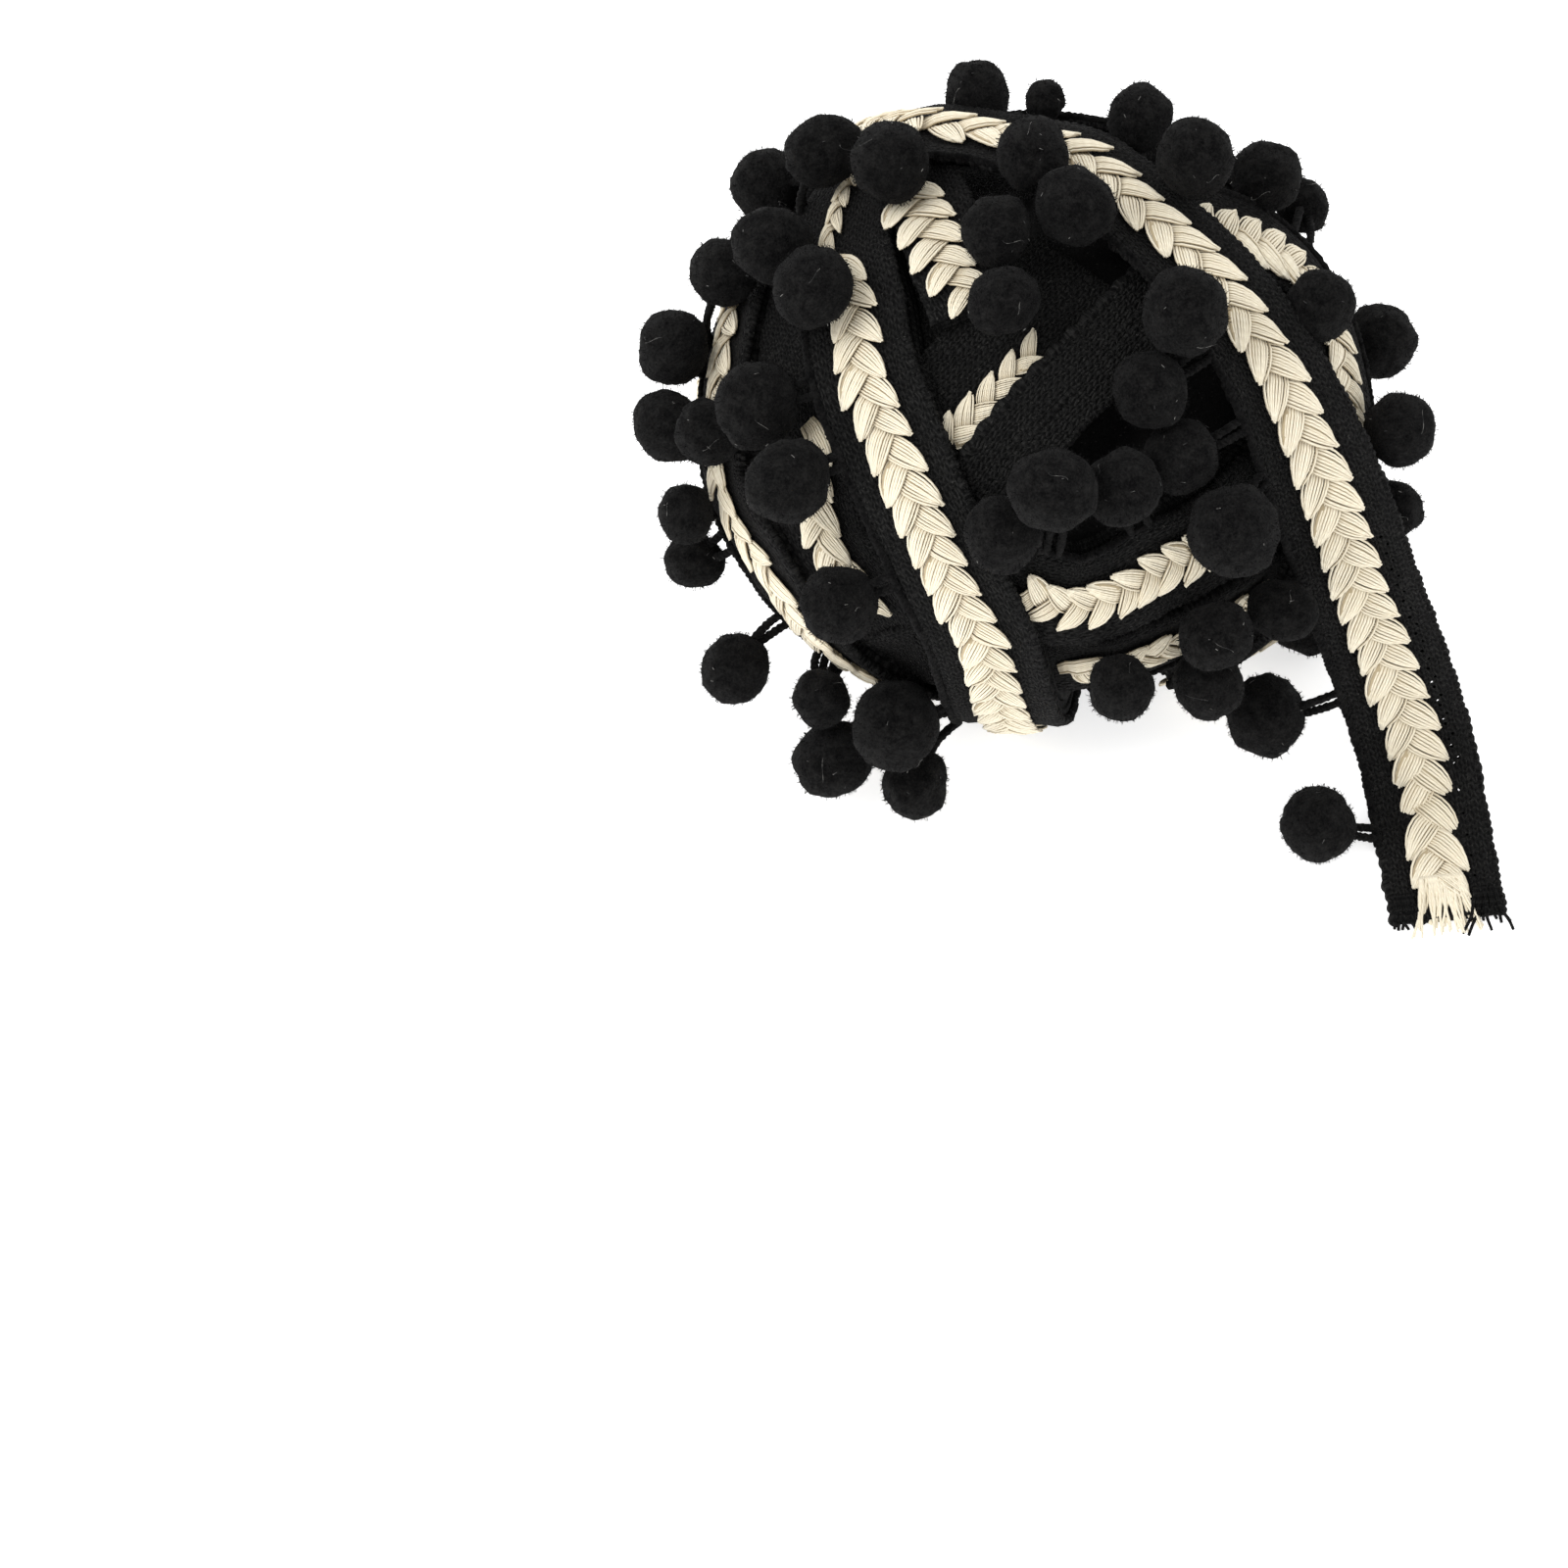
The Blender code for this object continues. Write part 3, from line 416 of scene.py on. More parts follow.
@dataclass(eq=False)
class Route:
    """A curve with a facing direction at every point, read by the length run along it.

    Its top is the height of the tape's face above it, and its thickness is 0 where it lies on the ball.
    """

    name: str
    points: Rows
    normals: Rows
    top: float
    width: float
    closed: bool
    thick: float = 0.0

    def __post_init__(self) -> None:
        """Measures the curve."""
        if self.closed:
            self.points = np.concatenate([self.points, self.points[:1]])
            self.normals = np.concatenate([self.normals, self.normals[:1]])
        self.along = lengths_along(self.points)
        self.length = float(self.along[-1])

    def read(self, values: Rows, at: Any) -> Rows:
        """Reads rows at lengths along the route."""
        at = np.mod(at, self.length) if self.closed else at
        return np.stack([np.interp(at, self.along, values[:, k]) for k in range(3)], axis=-1)

    def axes(self, at: Any) -> tuple[Rows, Rows, Rows]:
        """Finds the directions ahead, to the left and away from the face.

        Args:
            at: One length or several.

        Returns:
            The three rows of unit directions.
        """
        at = np.asarray(at, float)
        ahead = unit(self.read(self.points, at + AHEAD) - self.read(self.points, at - AHEAD))
        normal = self.read(self.normals, at)
        normal = unit(normal - np.sum(normal * ahead, axis=-1, keepdims=True) * ahead)
        return ahead, np.cross(normal, ahead), normal

    def place(self, at: Any, beside: Any, above: Any) -> Rows:
        """Finds places by length along the route, distance to its left and height above it.

        Args:
            at: One length or several.
            beside: How far to the left.
            above: How far above.

        Returns:
            The places in world axes.
        """
        _, left, normal = self.axes(at)
        across = left * np.asarray(beside, float)[..., None]
        return self.read(self.points, at) + across + normal * np.asarray(above, float)[..., None]


def ball_route(turn: Turn) -> Route:
    """Draws the route of one turn over the ball.

    Args:
        turn: The turn.

    Returns:
        Its route.
    """
    top = BALL.level_tops[turn.level]
    rows = unit(curve_through([BALL.direction(spot, top) for spot in turn.spots], turn.closed))
    normals = unit(rows / BALL.sizes) @ BALL.axes
    return Route(turn.name, BALL.world(rows * BALL.sizes), normals, top, turn.width, turn.closed)


def loose_route() -> Route:
    """Draws the route of the loose length.

    Returns:
        Its route, off the ball, down in the air and along the floor.
    """
    rows = []
    for hang in LOOSE_LENGTH:
        on = unit(np.array([hang.across, hang.up, hang.out]) / BALL.sizes**2)
        facing = (on @ BALL.axes, BALL.out, FLOOR_UP)
        low = min(int(hang.lay), 1)
        share = hang.lay - low
        normal = facing[low] * (1 - share) + facing[low + 1] * share
        rows.append([*BALL.world([hang.across, hang.up, hang.out]), *normal])
    curve = curve_through(rows, False)
    curve[:, 2] = np.maximum(curve[:, 2], TRIM.thickness + TRIM.floor_gap)
    normals = unit(curve[:, 3:])
    return Route("loose", curve[:, :3], normals, 0.0, TRIM.width, False, TRIM.thickness)


def stations(start: float, end: float, step: float) -> Rows:
    """Spaces lengths evenly, about a step apart."""
    return np.linspace(start, end, max(2, round((end - start) / step) + 1))


class Winding:
    """Every route of the ball, and what lies over what."""

    def __init__(self) -> None:
        """Draws all the routes."""
        self.routes: dict[str, Route] = {turn.name: ball_route(turn) for turn in TURNS}
        self.routes["loose"] = loose_route()

    def is_under(self, route: Route, at: float, sides: Sequence[float]) -> bool:
        """Says whether something passes over the tape at a length.

        Args:
            route: The tape's route.
            at: The length along it.
            sides: The distances beside its middle to look at.

        Returns:
            True where a higher turn, the loose length or the floor covers it.
        """
        if route.thick:
            return False
        if route.place(at, 0.0, route.top)[2] < TRIM.rest_height:
            return True
        for beside in sides:
            place = route.place(at, beside, 0.0)
            for other in self.routes.values():
                if other is route or (other.top <= route.top and not other.thick):
                    continue
                near = np.linalg.norm(other.points - place, axis=1)
                high: Any = other.top - route.top
                if other.thick:
                    high = (other.points - place) @ unit(place - BALL.centre)
                beside_it = np.sqrt(np.maximum(near**2 - high**2, 0.0))
                covers = beside_it < other.width / 2 + COVER_MARGIN
                if np.any(covers & (np.abs(high) < COVER_HEIGHT)):
                    return True
        return False

    def open_stretches(self, route: Route, margin: float) -> list[Pair]:
        """Finds the stretches of a turn that nothing covers, the shortest left out.

        Args:
            route: The turn's route.
            margin: How far to each side has to be clear too.

        Returns:
            The start and end of each.
        """
        lengths = np.arange(0.0, route.length, COVER_STEP)
        clear = [not self.is_under(route, at, (-margin, 0.0, margin)) for at in lengths]
        if route.closed and all(clear):
            return [(0.0, route.length - TRIM.gap)]
        if route.closed:
            first = clear.index(False)
            lengths = np.concatenate([lengths[first:], lengths[:first] + route.length])
            clear = clear[first:] + clear[:first]
        found: list[Pair] = []
        start: float | None = None
        for at, free in zip([*lengths, lengths[-1] + COVER_STEP], [*clear, False]):
            if free and start is None:
                start = at
            if not free and start is not None:
                if at - COVER_STEP - start >= TRIM.shortest_plait:
                    found.append((start, at - COVER_STEP))
                start = None
        return found


# ---------------- meshes


@dataclass
class Cloth:
    """A mesh in the making: places in millimetres, faces, a UV for each face corner, and a depth of painted
    shade at each place.
    """

    places: Rows
    faces: list[tuple[int, ...]]
    uvs: list[Pair] = field(default_factory=list)
    shade_depths: Rows | None = None

    def __post_init__(self) -> None:
        """Gives a mesh that has no UVs one at 0 for each face corner."""
        self.uvs = self.uvs or [(0.0, 0.0)] * sum(len(face) for face in self.faces)

    @staticmethod
    def joined(parts: Sequence[Cloth]) -> Cloth:
        """Puts several meshes into one.

        Args:
            parts: The meshes.

        Returns:
            One mesh that holds them all.
        """
        faces: list[tuple[int, ...]] = []
        uvs: list[Pair] = []
        start = 0
        for part in parts:
            faces += [tuple(corner + start for corner in face) for face in part.faces]
            uvs += part.uvs
            start += len(part.places)
        shade_depths = [np.ones(len(part.places)) if part.shade_depths is None else part.shade_depths for part in parts]
        places = np.concatenate([part.places for part in parts])
        return Cloth(places, faces, uvs, np.concatenate(shade_depths))

    @staticmethod
    def plain(parts: Sequence[Cloth], floor: float = -math.inf) -> Cloth:
        """Puts several meshes into one that has no depths of painted shade.

        Args:
            parts: The meshes.
            floor: What is lower than this is lifted to it.

        Returns:
            One mesh that holds them all.
        """
        whole = Cloth.joined(parts)
        whole.places[:, 2] = np.maximum(whole.places[:, 2], floor)
        whole.shade_depths = None
        return whole

    def to_mesh(self, name: str) -> bpy.types.Mesh:
        """Makes a smooth-shaded mesh of it, in metres.

        Args:
            name: The mesh's name.

        Returns:
            The mesh.
        """
        mesh = bpy.data.meshes.new(name)
        mesh.from_pydata((self.places * MM).tolist(), [], self.faces)
        layer = mesh.uv_layers.new(name="UVMap")
        layer.data.foreach_set("uv", np.array(self.uvs, np.float32).ravel())
        # the depth attribute carries painted shade: 1 is fully lit, and the cotton turns lower depths
        # towards tan
        if self.shade_depths is not None:
            depth = mesh.attributes.new("depth", "FLOAT", "POINT")
            depth.data.foreach_set("value", np.asarray(self.shade_depths, np.float32))
        mesh.shade_smooth()
        return mesh


def link(name: str, mesh: bpy.types.Mesh) -> Piece:
    """Adds a mesh to the scene as an object.

    Args:
        name: The object's name.
        mesh: Its mesh.

    Returns:
        The object.
    """
    made = bpy.data.objects.new(name, mesh)
    bpy.context.scene.collection.objects.link(made)
    return made


def wrap_rings(rings: Rows, us: Any, along: Any, closed: bool, caps: Sequence[float]) -> Cloth:
    """Wraps rings of places in faces, with an end at each side unless the rings come round.

    Args:
        rings: The rings, each a row of places.
        us: The UV's first number for each place of a ring, and for its first once more.
        along: The UV's second number for each ring, and for the first of a closed one once more.
        closed: Whether the last ring joins the first.
        caps: The UV's first number for each place of an end.

    Returns:
        The mesh.
    """
    rows, count = rings.shape[:2]
    spans = rows if closed else rows - 1
    faces: list[tuple[int, ...]] = []
    uvs: list[Pair] = []
    for i in range(spans):
        here, there, low, high = i * count, (i + 1) % rows * count, along[i], along[i + 1]
        for j in range(count):
            k = (j + 1) % count
            faces.append((here + j, here + k, there + k, there + j))
            uvs += [(us[j], low), (us[j + 1], low), (us[j + 1], high), (us[j], high)]
    if not closed:
        faces.append(tuple(reversed(range(count))))
        faces.append(tuple(spans * count + j for j in range(count)))
        uvs += [(u, along[0]) for u in reversed(caps)] + [(u, along[-1]) for u in caps]
    return Cloth(rings.reshape(-1, 3), faces, uvs)


def tube(path: Rows, radius: Any, sides: int, closed: bool = False, depth: Any = 1.0) -> Cloth:
    """Sweeps a round yarn along a path.

    Args:
        path: Rows of places.
        radius: One radius, or one for each place.
        sides: How many sides the yarn has.
        closed: Whether the path comes round to its start.
        depth: The depth of painted shade, 1 being fully lit: one, or one for each place.

    Returns:
        The yarn, with the length along it in its UV's second number.
    """
    count = len(path)
    ahead = np.gradient(path, axis=0)
    if closed:
        ahead = np.roll(path, -1, axis=0) - np.roll(path, 1, axis=0)
    ahead = unit(ahead)
    side = unit(np.cross(ahead[0], ASIDE))
    sideways = np.empty_like(path)
    for i in range(count):
        side = unit(side - np.dot(side, ahead[i]) * ahead[i])
        sideways[i] = side
    other = np.cross(ahead, sideways)
    angles = np.arange(sides) * (2 * math.pi / sides)
    radii = np.broadcast_to(np.asarray(radius, float), (count,))[:, None, None]
    ring = np.cos(angles)[None, :, None] * sideways[:, None] + np.sin(angles)[None, :, None] * other[:, None]
    along = lengths_along(path)
    if closed:
        along = np.append(along, along[-1] + float(np.linalg.norm(path[0] - path[-1])))
    us = np.arange(sides + 1) / sides
    yarn = wrap_rings(path[:, None] + ring * radii, us, along, closed, [0.5] * sides)
    yarn.shade_depths = np.repeat(np.broadcast_to(np.asarray(depth, float), (count,)), sides)
    return yarn


def ripple(at: Any, seed: float, longest: float) -> Rows:
    """A smooth wandering number between about -1 and 1.

    Args:
        at: The lengths to read it at.
        seed: Which wandering it is.
        longest: Its longest wave.

    Returns:
        The numbers.
    """
    at = np.asarray(at, float) * (2 * math.pi / longest)
    waves = [np.sin(at * wave + (seed * grow + start)) for wave, grow, start in RIPPLES]
    return sum(wave / (1 + k) for k, wave in enumerate(waves)) / RIPPLE_SIZE


def eased(at: Rows, start: float, length: float) -> Rows:
    """A smooth climb from 0 to 1."""
    share = np.clip((at - start) / length, 0, 1)
    return share**2 * (3 - 2 * share)


def bowed(start: Rows, knee: Rows, tip: Rows, steps: int) -> tuple[Rows, Rows]:
    """Draws a yarn that bends once."""
    t = np.linspace(0.0, 1.0, steps)[:, None]
    return (1 - t) ** 2 * start + 2 * t * (1 - t) * knee + t**2 * tip, t


@dataclass(frozen=True)
class Ribbon:
    """A tape that runs the whole length of a route."""

    route: Route
    top: float
    thickness: float
    seed: float
    shift: float = 0.0
    width: float = 0.0
    step: float = 1.3
    across: int = 12
    wave: float = 0.25
    roll: float = 0.0
    roll_place: float = 0.8
    roll_width: float = 0.12
    roll_mean: float = 0.6
    closed_waves: tuple[int, int] = (7, 11)
    open_waves: Pair = (46.0, 31.0)
    slope: float = 0.5
    edge_lift: float = 0.8
    edge_droop: float = 0.4

    def lengths(self, step: float) -> Rows:
        """Spaces lengths along the route."""
        found = stations(0.0, self.route.length, step)
        return found[:-1] if self.route.closed else found

    def height(self, at: Rows, share: Rows) -> Rows:
        """The height of the tape's face: it wanders, and more so at its edges.

        Args:
            at: Lengths along the route.
            share: How far across, from -1 to 1.

        Returns:
            The heights above the route.
        """
        turn = 2 * math.pi / self.route.length
        if self.route.closed:
            loop = np.sin(at * turn * self.closed_waves[0] + self.seed)
            lift = np.sin(at * turn * self.closed_waves[1] + 2 * self.seed)
        else:
            loop = ripple(at, self.seed, self.open_waves[0])
            lift = ripple(at, self.seed + 3, self.open_waves[1])
        roll = np.exp(-(((np.abs(share) - self.roll_place) / self.roll_width) ** 2))
        bend = self.slope * loop * share + self.edge_lift * lift * share**2 - self.edge_droop * share**4
        return self.top + self.wave * bend + self.roll * (roll - self.roll_mean)

    def cloth(self) -> Cloth:
        """Makes the tape's closed mesh.

        Returns:
            The mesh, with UVs in millimetres: across, then along.
        """
        route = self.route
        at = self.lengths(self.step)
        width = self.width or route.width
        share = np.linspace(-1.0, 1.0, self.across + 1)
        grid, shares = np.meshgrid(at, share, indexing="ij")
        beside = shares * width / 2 + self.shift
        top = self.height(grid, shares)
        upper = route.place(grid, beside, top)
        lower = route.place(grid, beside, top - self.thickness)
        ring = np.concatenate([upper, lower[:, ::-1]], axis=1)
        across = np.concatenate([share, share[::-1]]) * width / 2
        along = np.append(at, route.length) if route.closed else at
        return wrap_rings(ring, np.append(across, across[0]), along, route.closed, list(across))

    def edge_cord(self, side: int, cord: EdgeCord) -> Cloth:
        """Makes the knitted cord along one edge, with a bead for every stitch.

        Args:
            side: 1 for the left edge and -1 for the right.
            cord: The cord's sizes.

        Returns:
            The mesh.
        """
        at = self.lengths(cord.pitch / cord.steps)
        width = self.width or self.route.width
        phase = at * (2 * math.pi / cord.pitch)
        sway = cord.sway * ripple(at, self.seed + side, cord.sway_wave)
        beside = side * (width / 2 - cord.inset + sway) + self.shift
        shares = np.full(len(at), float(side))
        above = self.height(at, shares) - self.thickness / 2
        path = self.route.place(at, beside, above)
        radius = cord.radius * (1 + cord.beading * np.abs(np.sin(phase / 2)))
        return tube(path, radius, cord.sides, self.route.closed)


@dataclass(frozen=True)
class EdgeCord:
    """The chain of stitches along a tape's edge."""

    radius: float = 0.78
    pitch: float = 1.7
    steps: int = 4
    sides: int = 6
    inset: float = 0.5
    sway: float = 0.22
    sway_wave: float = 9.0
    beading: float = 0.42


# ---------------- shader and geometry trees


def operator(operation: str, flipped: bool = False) -> Callable[..., Number]:
    """Makes a method that adds one Math node.

    Args:
        operation: The node's operation.
        flipped: Whether the other value comes first.

    Returns:
        The method.
    """

    def method(self: Number, *others: Any) -> Number:
        """Adds the node, and gives its result."""
        values = dict(enumerate((*others, self) if flipped else (self, *others)))
        node = self.paint.node("ShaderNodeMath", {"operation": operation}, values)
        return Number(self.paint, node.outputs[0])

    return method


class Number:
    """A shader socket that adds Math nodes when it is used in arithmetic."""

    __add__, __radd__ = operator("ADD"), operator("ADD", True)
    __sub__, __rsub__ = operator("SUBTRACT"), operator("SUBTRACT", True)
    __mul__, __rmul__ = operator("MULTIPLY"), operator("MULTIPLY", True)
    __truediv__, __pow__ = operator("DIVIDE"), operator("POWER")
    __abs__, sine, wrapped = operator("ABSOLUTE"), operator("SINE"), operator("FRACT")
    most, least = operator("MAXIMUM"), operator("MINIMUM")
    over, under = operator("GREATER_THAN"), operator("LESS_THAN")

    def __init__(self, paint: Paint, socket: Socket) -> None:
        """Wraps a socket."""
        self.paint, self.socket = paint, socket

    def wave(self) -> Number:
        """A wave between 0 and 1 that repeats at every whole number."""
        return (self * (2 * math.pi)).sine() * 0.5 + 0.5

    def ranged(self, low: float, span: float) -> Number:
        """This as a share of a span above a low number."""
        return low + span * self

    def eased(self, low: float, high: float) -> Number:
        """Eases this from 0 to 1 between two numbers.

        Args:
            low: Where it leaves 0.
            high: Where it reaches 1.

        Returns:
            The eased number.
        """
        settings = {"interpolation_type": "SMOOTHSTEP"}
        node = self.paint.node("ShaderNodeMapRange", settings, {0: self, 1: low, 2: high})
        return Number(self.paint, node.outputs[0])


class Grain(NamedTuple):
    """How fine a noise is, how many finer layers it has, and how strong those are."""

    scale: float
    detail: float = 2.0
    rough: float = 0.5


class Tree:
    """A node tree in the making."""

    tree: bpy.types.NodeTree

    def node(self, kind: str, settings: dict[str, Any], values: dict[Any, Any]) -> bpy.types.Node:
        """Adds a node.

        Args:
            kind: The node's type.
            settings: Its settings, set first.
            values: A value or a link for each socket, by name or number.

        Returns:
            The node.
        """
        node = self.tree.nodes.new(kind)
        for name, value in settings.items():
            setattr(node, name, value)
        for key, value in values.items():
            self.feed(node.inputs[key], value)
        return node

    def feed(self, socket: Socket, value: Any) -> None:
        """Sets or links one socket.

        Args:
            socket: The socket.
            value: A value, a Number or another socket.
        """
        if isinstance(value, Number):
            self.tree.links.new(value.socket, socket)
        elif isinstance(value, Socket):
            self.tree.links.new(value, socket)
        else:
            socket.default_value = value


class Paint(Tree):
    """A node material in the making."""

    # a Mix node has a set of sockets for each kind of value, and these are the ones for colours
    mix_inputs = (0, 6, 7)
    mix_result = 2

    def __init__(self, name: str) -> None:
        """Starts a material with its Principled shader.

        Args:
            name: The material's name.
        """
        self.material = bpy.data.materials.new(name)
        self.material.use_nodes = True
        self.tree = self.material.node_tree
        self.shader = self.tree.nodes["Principled BSDF"]

    def noise(self, where: Any, grain: Grain) -> Number:
        """A soft random number that varies from place to place."""
        values = {"Vector": where, "Scale": grain.scale, "Detail": grain.detail, "Roughness": grain.rough}
        return Number(self, self.node("ShaderNodeTexNoise", {}, values).outputs[0])

    def blend(self, share: Any, low: Any, high: Any) -> Socket:
        """Mixes two colours."""
        values = dict(zip(self.mix_inputs, (share, low, high)))
        return self.node("ShaderNodeMix", {"data_type": "RGBA"}, values).outputs[self.mix_result]

    def places(self, output: str) -> Socket:
        """The surface's own coordinates."""
        return self.node("ShaderNodeTexCoord", {}, {}).outputs[output]

    def parts(self, where: Socket) -> tuple[Number, Number, Number]:
        """Splits coordinates."""
        split = self.node("ShaderNodeSeparateXYZ", {}, {0: where})
        return tuple(Number(self, output) for output in split.outputs)

    def attribute(self, name: str) -> Number:
        """A number stored on the mesh."""
        found = self.node("ShaderNodeAttribute", {"attribute_name": name}, {})
        return Number(self, found.outputs["Fac"])

    def dress(self, colour: Any, roughness: Any, height: Any, depth: float, **fixed: Any) -> Material:
        """Feeds the shader.

        Args:
            colour: The base colour.
            roughness: The roughness.
            height: The relief.
            depth: How deep the relief is, in metres.
            fixed: Values that are the same all over, by socket name with _ for a space.

        Returns:
            The material.
        """
        self.feed(self.shader.inputs["Base Color"], colour)
        self.feed(self.shader.inputs["Roughness"], roughness)
        values = {"Strength": 1.0, "Distance": depth, "Height": height}
        bump = self.node("ShaderNodeBump", {}, values)
        self.feed(self.shader.inputs["Normal"], bump.outputs[0])
        for name, value in fixed.items():
            self.shader.inputs[name.replace("_", " ")].default_value = value
        return self.material


class Nodes(Tree):
    """A geometry-nodes tree in the making."""

    def __init__(self, name: str, **kinds: str) -> None:
        """Starts a tree with its inputs and its output.

        Args:
            name: The tree's name.
            kinds: What each input of its own holds, by the input's name.
        """
        self.tree = bpy.data.node_groups.new(name, "GeometryNodeTree")
        self.tree.is_modifier = True
        self.sockets: dict[str, str] = {}
        self.entry = self.tree.nodes.new("NodeGroupInput")
        self.exit = self.tree.nodes.new("NodeGroupOutput")
        add = self.tree.interface.new_socket
        for key, kind in {"Geometry": "Geometry", **kinds, "Material": "Material"}.items():
            self.sockets[key] = add(key, in_out="INPUT", socket_type=f"NodeSocket{kind}").identifier
        add("Geometry", in_out="OUTPUT", socket_type="NodeSocketGeometry")

    def given(self, name: str) -> Socket:
        """The socket that carries a named input."""
        return self.entry.outputs[name]

    def scatter(self, points: Any, kinds: str, pick: Any, rotation: Any, scale: Any) -> Socket:
        """Sets one thing of a collection on each point.

        Args:
            points: The points.
            kinds: The input that holds the collection.
            pick: Which of its things.
            rotation: How it is turned.
            scale: How large it is.

        Returns:
            The socket of what is set.
        """
        values = {"Collection": self.given(kinds), "Separate Children": True, "Reset Children": True}
        info = self.node("GeometryNodeCollectionInfo", {}, values)
        values = {"Points": points, "Instance": info.outputs[0], "Pick Instance": True}
        values |= {"Instance Index": pick, "Rotation": rotation, "Scale": scale}
        return self.node("GeometryNodeInstanceOnPoints", {}, values).outputs[0]

    def finish(self, geometry: Socket) -> None:
        """Ends the tree in Realize Instances and Set Material.

        Args:
            geometry: What it ends with.
        """
        real = self.node("GeometryNodeRealizeInstances", {}, {0: geometry})
        values = {"Geometry": real.outputs[0], "Material": self.given("Material")}
        dressed = self.node("GeometryNodeSetMaterial", {}, values)
        self.tree.links.new(dressed.outputs[0], self.exit.inputs[0])

    def apply(self, piece: Piece, values: dict[str, Any]) -> Piece:
        """Runs the tree on an object and keeps the result as its plain, smooth-shaded mesh.

        Args:
            piece: The object.
            values: The named inputs.

        Returns:
            The object.
        """
        modifier = piece.modifiers.new(self.tree.name, "NODES")
        modifier.node_group = self.tree
        for name, value in values.items():
            modifier[self.sockets[name]] = value
        graph = bpy.context.evaluated_depsgraph_get()
        mesh = bpy.data.meshes.new_from_object(piece.evaluated_get(graph), depsgraph=graph)
        mesh.shade_smooth()
        piece.modifiers.remove(modifier)
        piece.data = mesh
        return piece


def shelf(name: str, cloths: Sequence[Cloth]) -> bpy.types.Collection:
    """Keeps meshes that are only copied from in a collection outside the scene.

    Args:
        name: What each is called, before its number.
        cloths: The meshes.

    Returns:
        The collection.
    """
    made = bpy.data.collections.new(name)
    for number, cloth in enumerate(cloths):
        mesh = cloth.to_mesh(f"{name}_{number}")
        made.objects.link(bpy.data.objects.new(mesh.name, mesh))
    return made


# ---------------- finishes


def mixed(shares: Sequence[float], parts: Sequence[Number]) -> Number:
    """Adds numbers up, each by its share.

    Args:
        shares: The shares.
        parts: The numbers.

    Returns:
        Their sum.
    """
    first, *rest = [part * share for share, part in zip(shares, parts)]
    return sum(rest, first)


@dataclass(frozen=True)
class TapeFinish:
    """Matt black knitted tape: fine columns of stitches painted with shade in their grooves and highlight on
    their crests, lighter fluff, and pinholes beside the plait.
    """

    name: str = "knitted_black_tape"
    holes: bool = False
    column: float = 1.5
    course: float = 1.5
    # dark is the painted shade in the stitches' grooves, and light is the painted highlight on their crests
    dark: Numbers = (0.0016, 0.0016, 0.0018, 1.0)
    light: Numbers = (0.0265, 0.026, 0.025, 1.0)
    fluff: Numbers = (0.062, 0.06, 0.056, 1.0)
    zigzag: float = 0.5
    wander: Grain = Grain(0.55, 3.0, 0.6)
    wander_across: float = 0.9
    wander_along: float = 2.6
    fuzz: Grain = Grain(1300.0, 4.0, 0.75)
    raised: Numbers = (0.75, 0.6, 0.5)
    shaded: Numbers = (0.5, 0.3, 0.65)
    shade_low: float = 0.34
    # a patchy noise that makes the painted highlight and shade of the stitches stronger in some places than
    # in others
    stitch_contrast: Grain = Grain(90.0, 3.0, 0.6)
    stitch_contrast_range: Pair = (0.35, 1.1)
    specks: Grain = Grain(1500.0, 1.0)
    speck_band: Pair = (0.69, 0.76)
    speck_share: float = 0.55
    relief: float = 0.0008
    roughness: float = 0.95
    shine: float = 0.1

    def make(self) -> Material:
        """Makes the material.

        Returns:
            The material.
        """
        paint = Paint(self.name)
        where = paint.places("UV")
        solid = paint.places("Object")
        across, along, _ = paint.parts(where)
        wander = paint.noise(where, self.wander) - 0.5
        fold = abs((across / self.column + self.wander_across * wander).wrapped() - 0.5) * 2
        stitch = (along / self.course + fold * self.zigzag + self.wander_along * wander).wave()
        column = (fold * math.pi).sine()
        fuzz = paint.noise(solid, self.fuzz)
        height = mixed(self.raised, (stitch, column, fuzz))
        speck = paint.noise(solid, self.specks).eased(*self.speck_band)
        # painted light: stitch crests are lighter and grooves darker, more so in some patches
        stitch_contrast = paint.noise(solid, self.stitch_contrast).ranged(*self.stitch_contrast_range)
        shade = (mixed(self.shaded, (stitch, column, fuzz)) - self.shade_low) * stitch_contrast
        colour = paint.blend(shade.least(1.0).most(0.0), self.dark, self.light)
        colour = paint.blend(speck * self.speck_share, colour, self.fluff)
        made = paint.dress(colour, self.roughness, height, self.relief, Specular_IOR_Level=self.shine)
        if self.holes:
            self.pierce(paint, across, along)
        return made

    def pierce(self, paint: Paint, across: Number, along: Number) -> None:
        """Opens the rows of pinholes.

        Args:
            paint: The material.
            across: The distance across the tape.
            along: The length along it.
        """
        hole: Number | None = None
        for beside, pitch, start, radius in PINHOLES:
            step = ((along - start) / pitch).wrapped() * pitch - pitch / 2
            far = step * step + (across - beside) ** 2.0
            row = far.under(radius * radius) * along.over(start) * along.under(start + PINHOLE_RUN)
            hole = row if hole is None else hole.most(row)
        assert hole is not None
        paint.feed(paint.shader.inputs["Alpha"], 1.0 - hole)


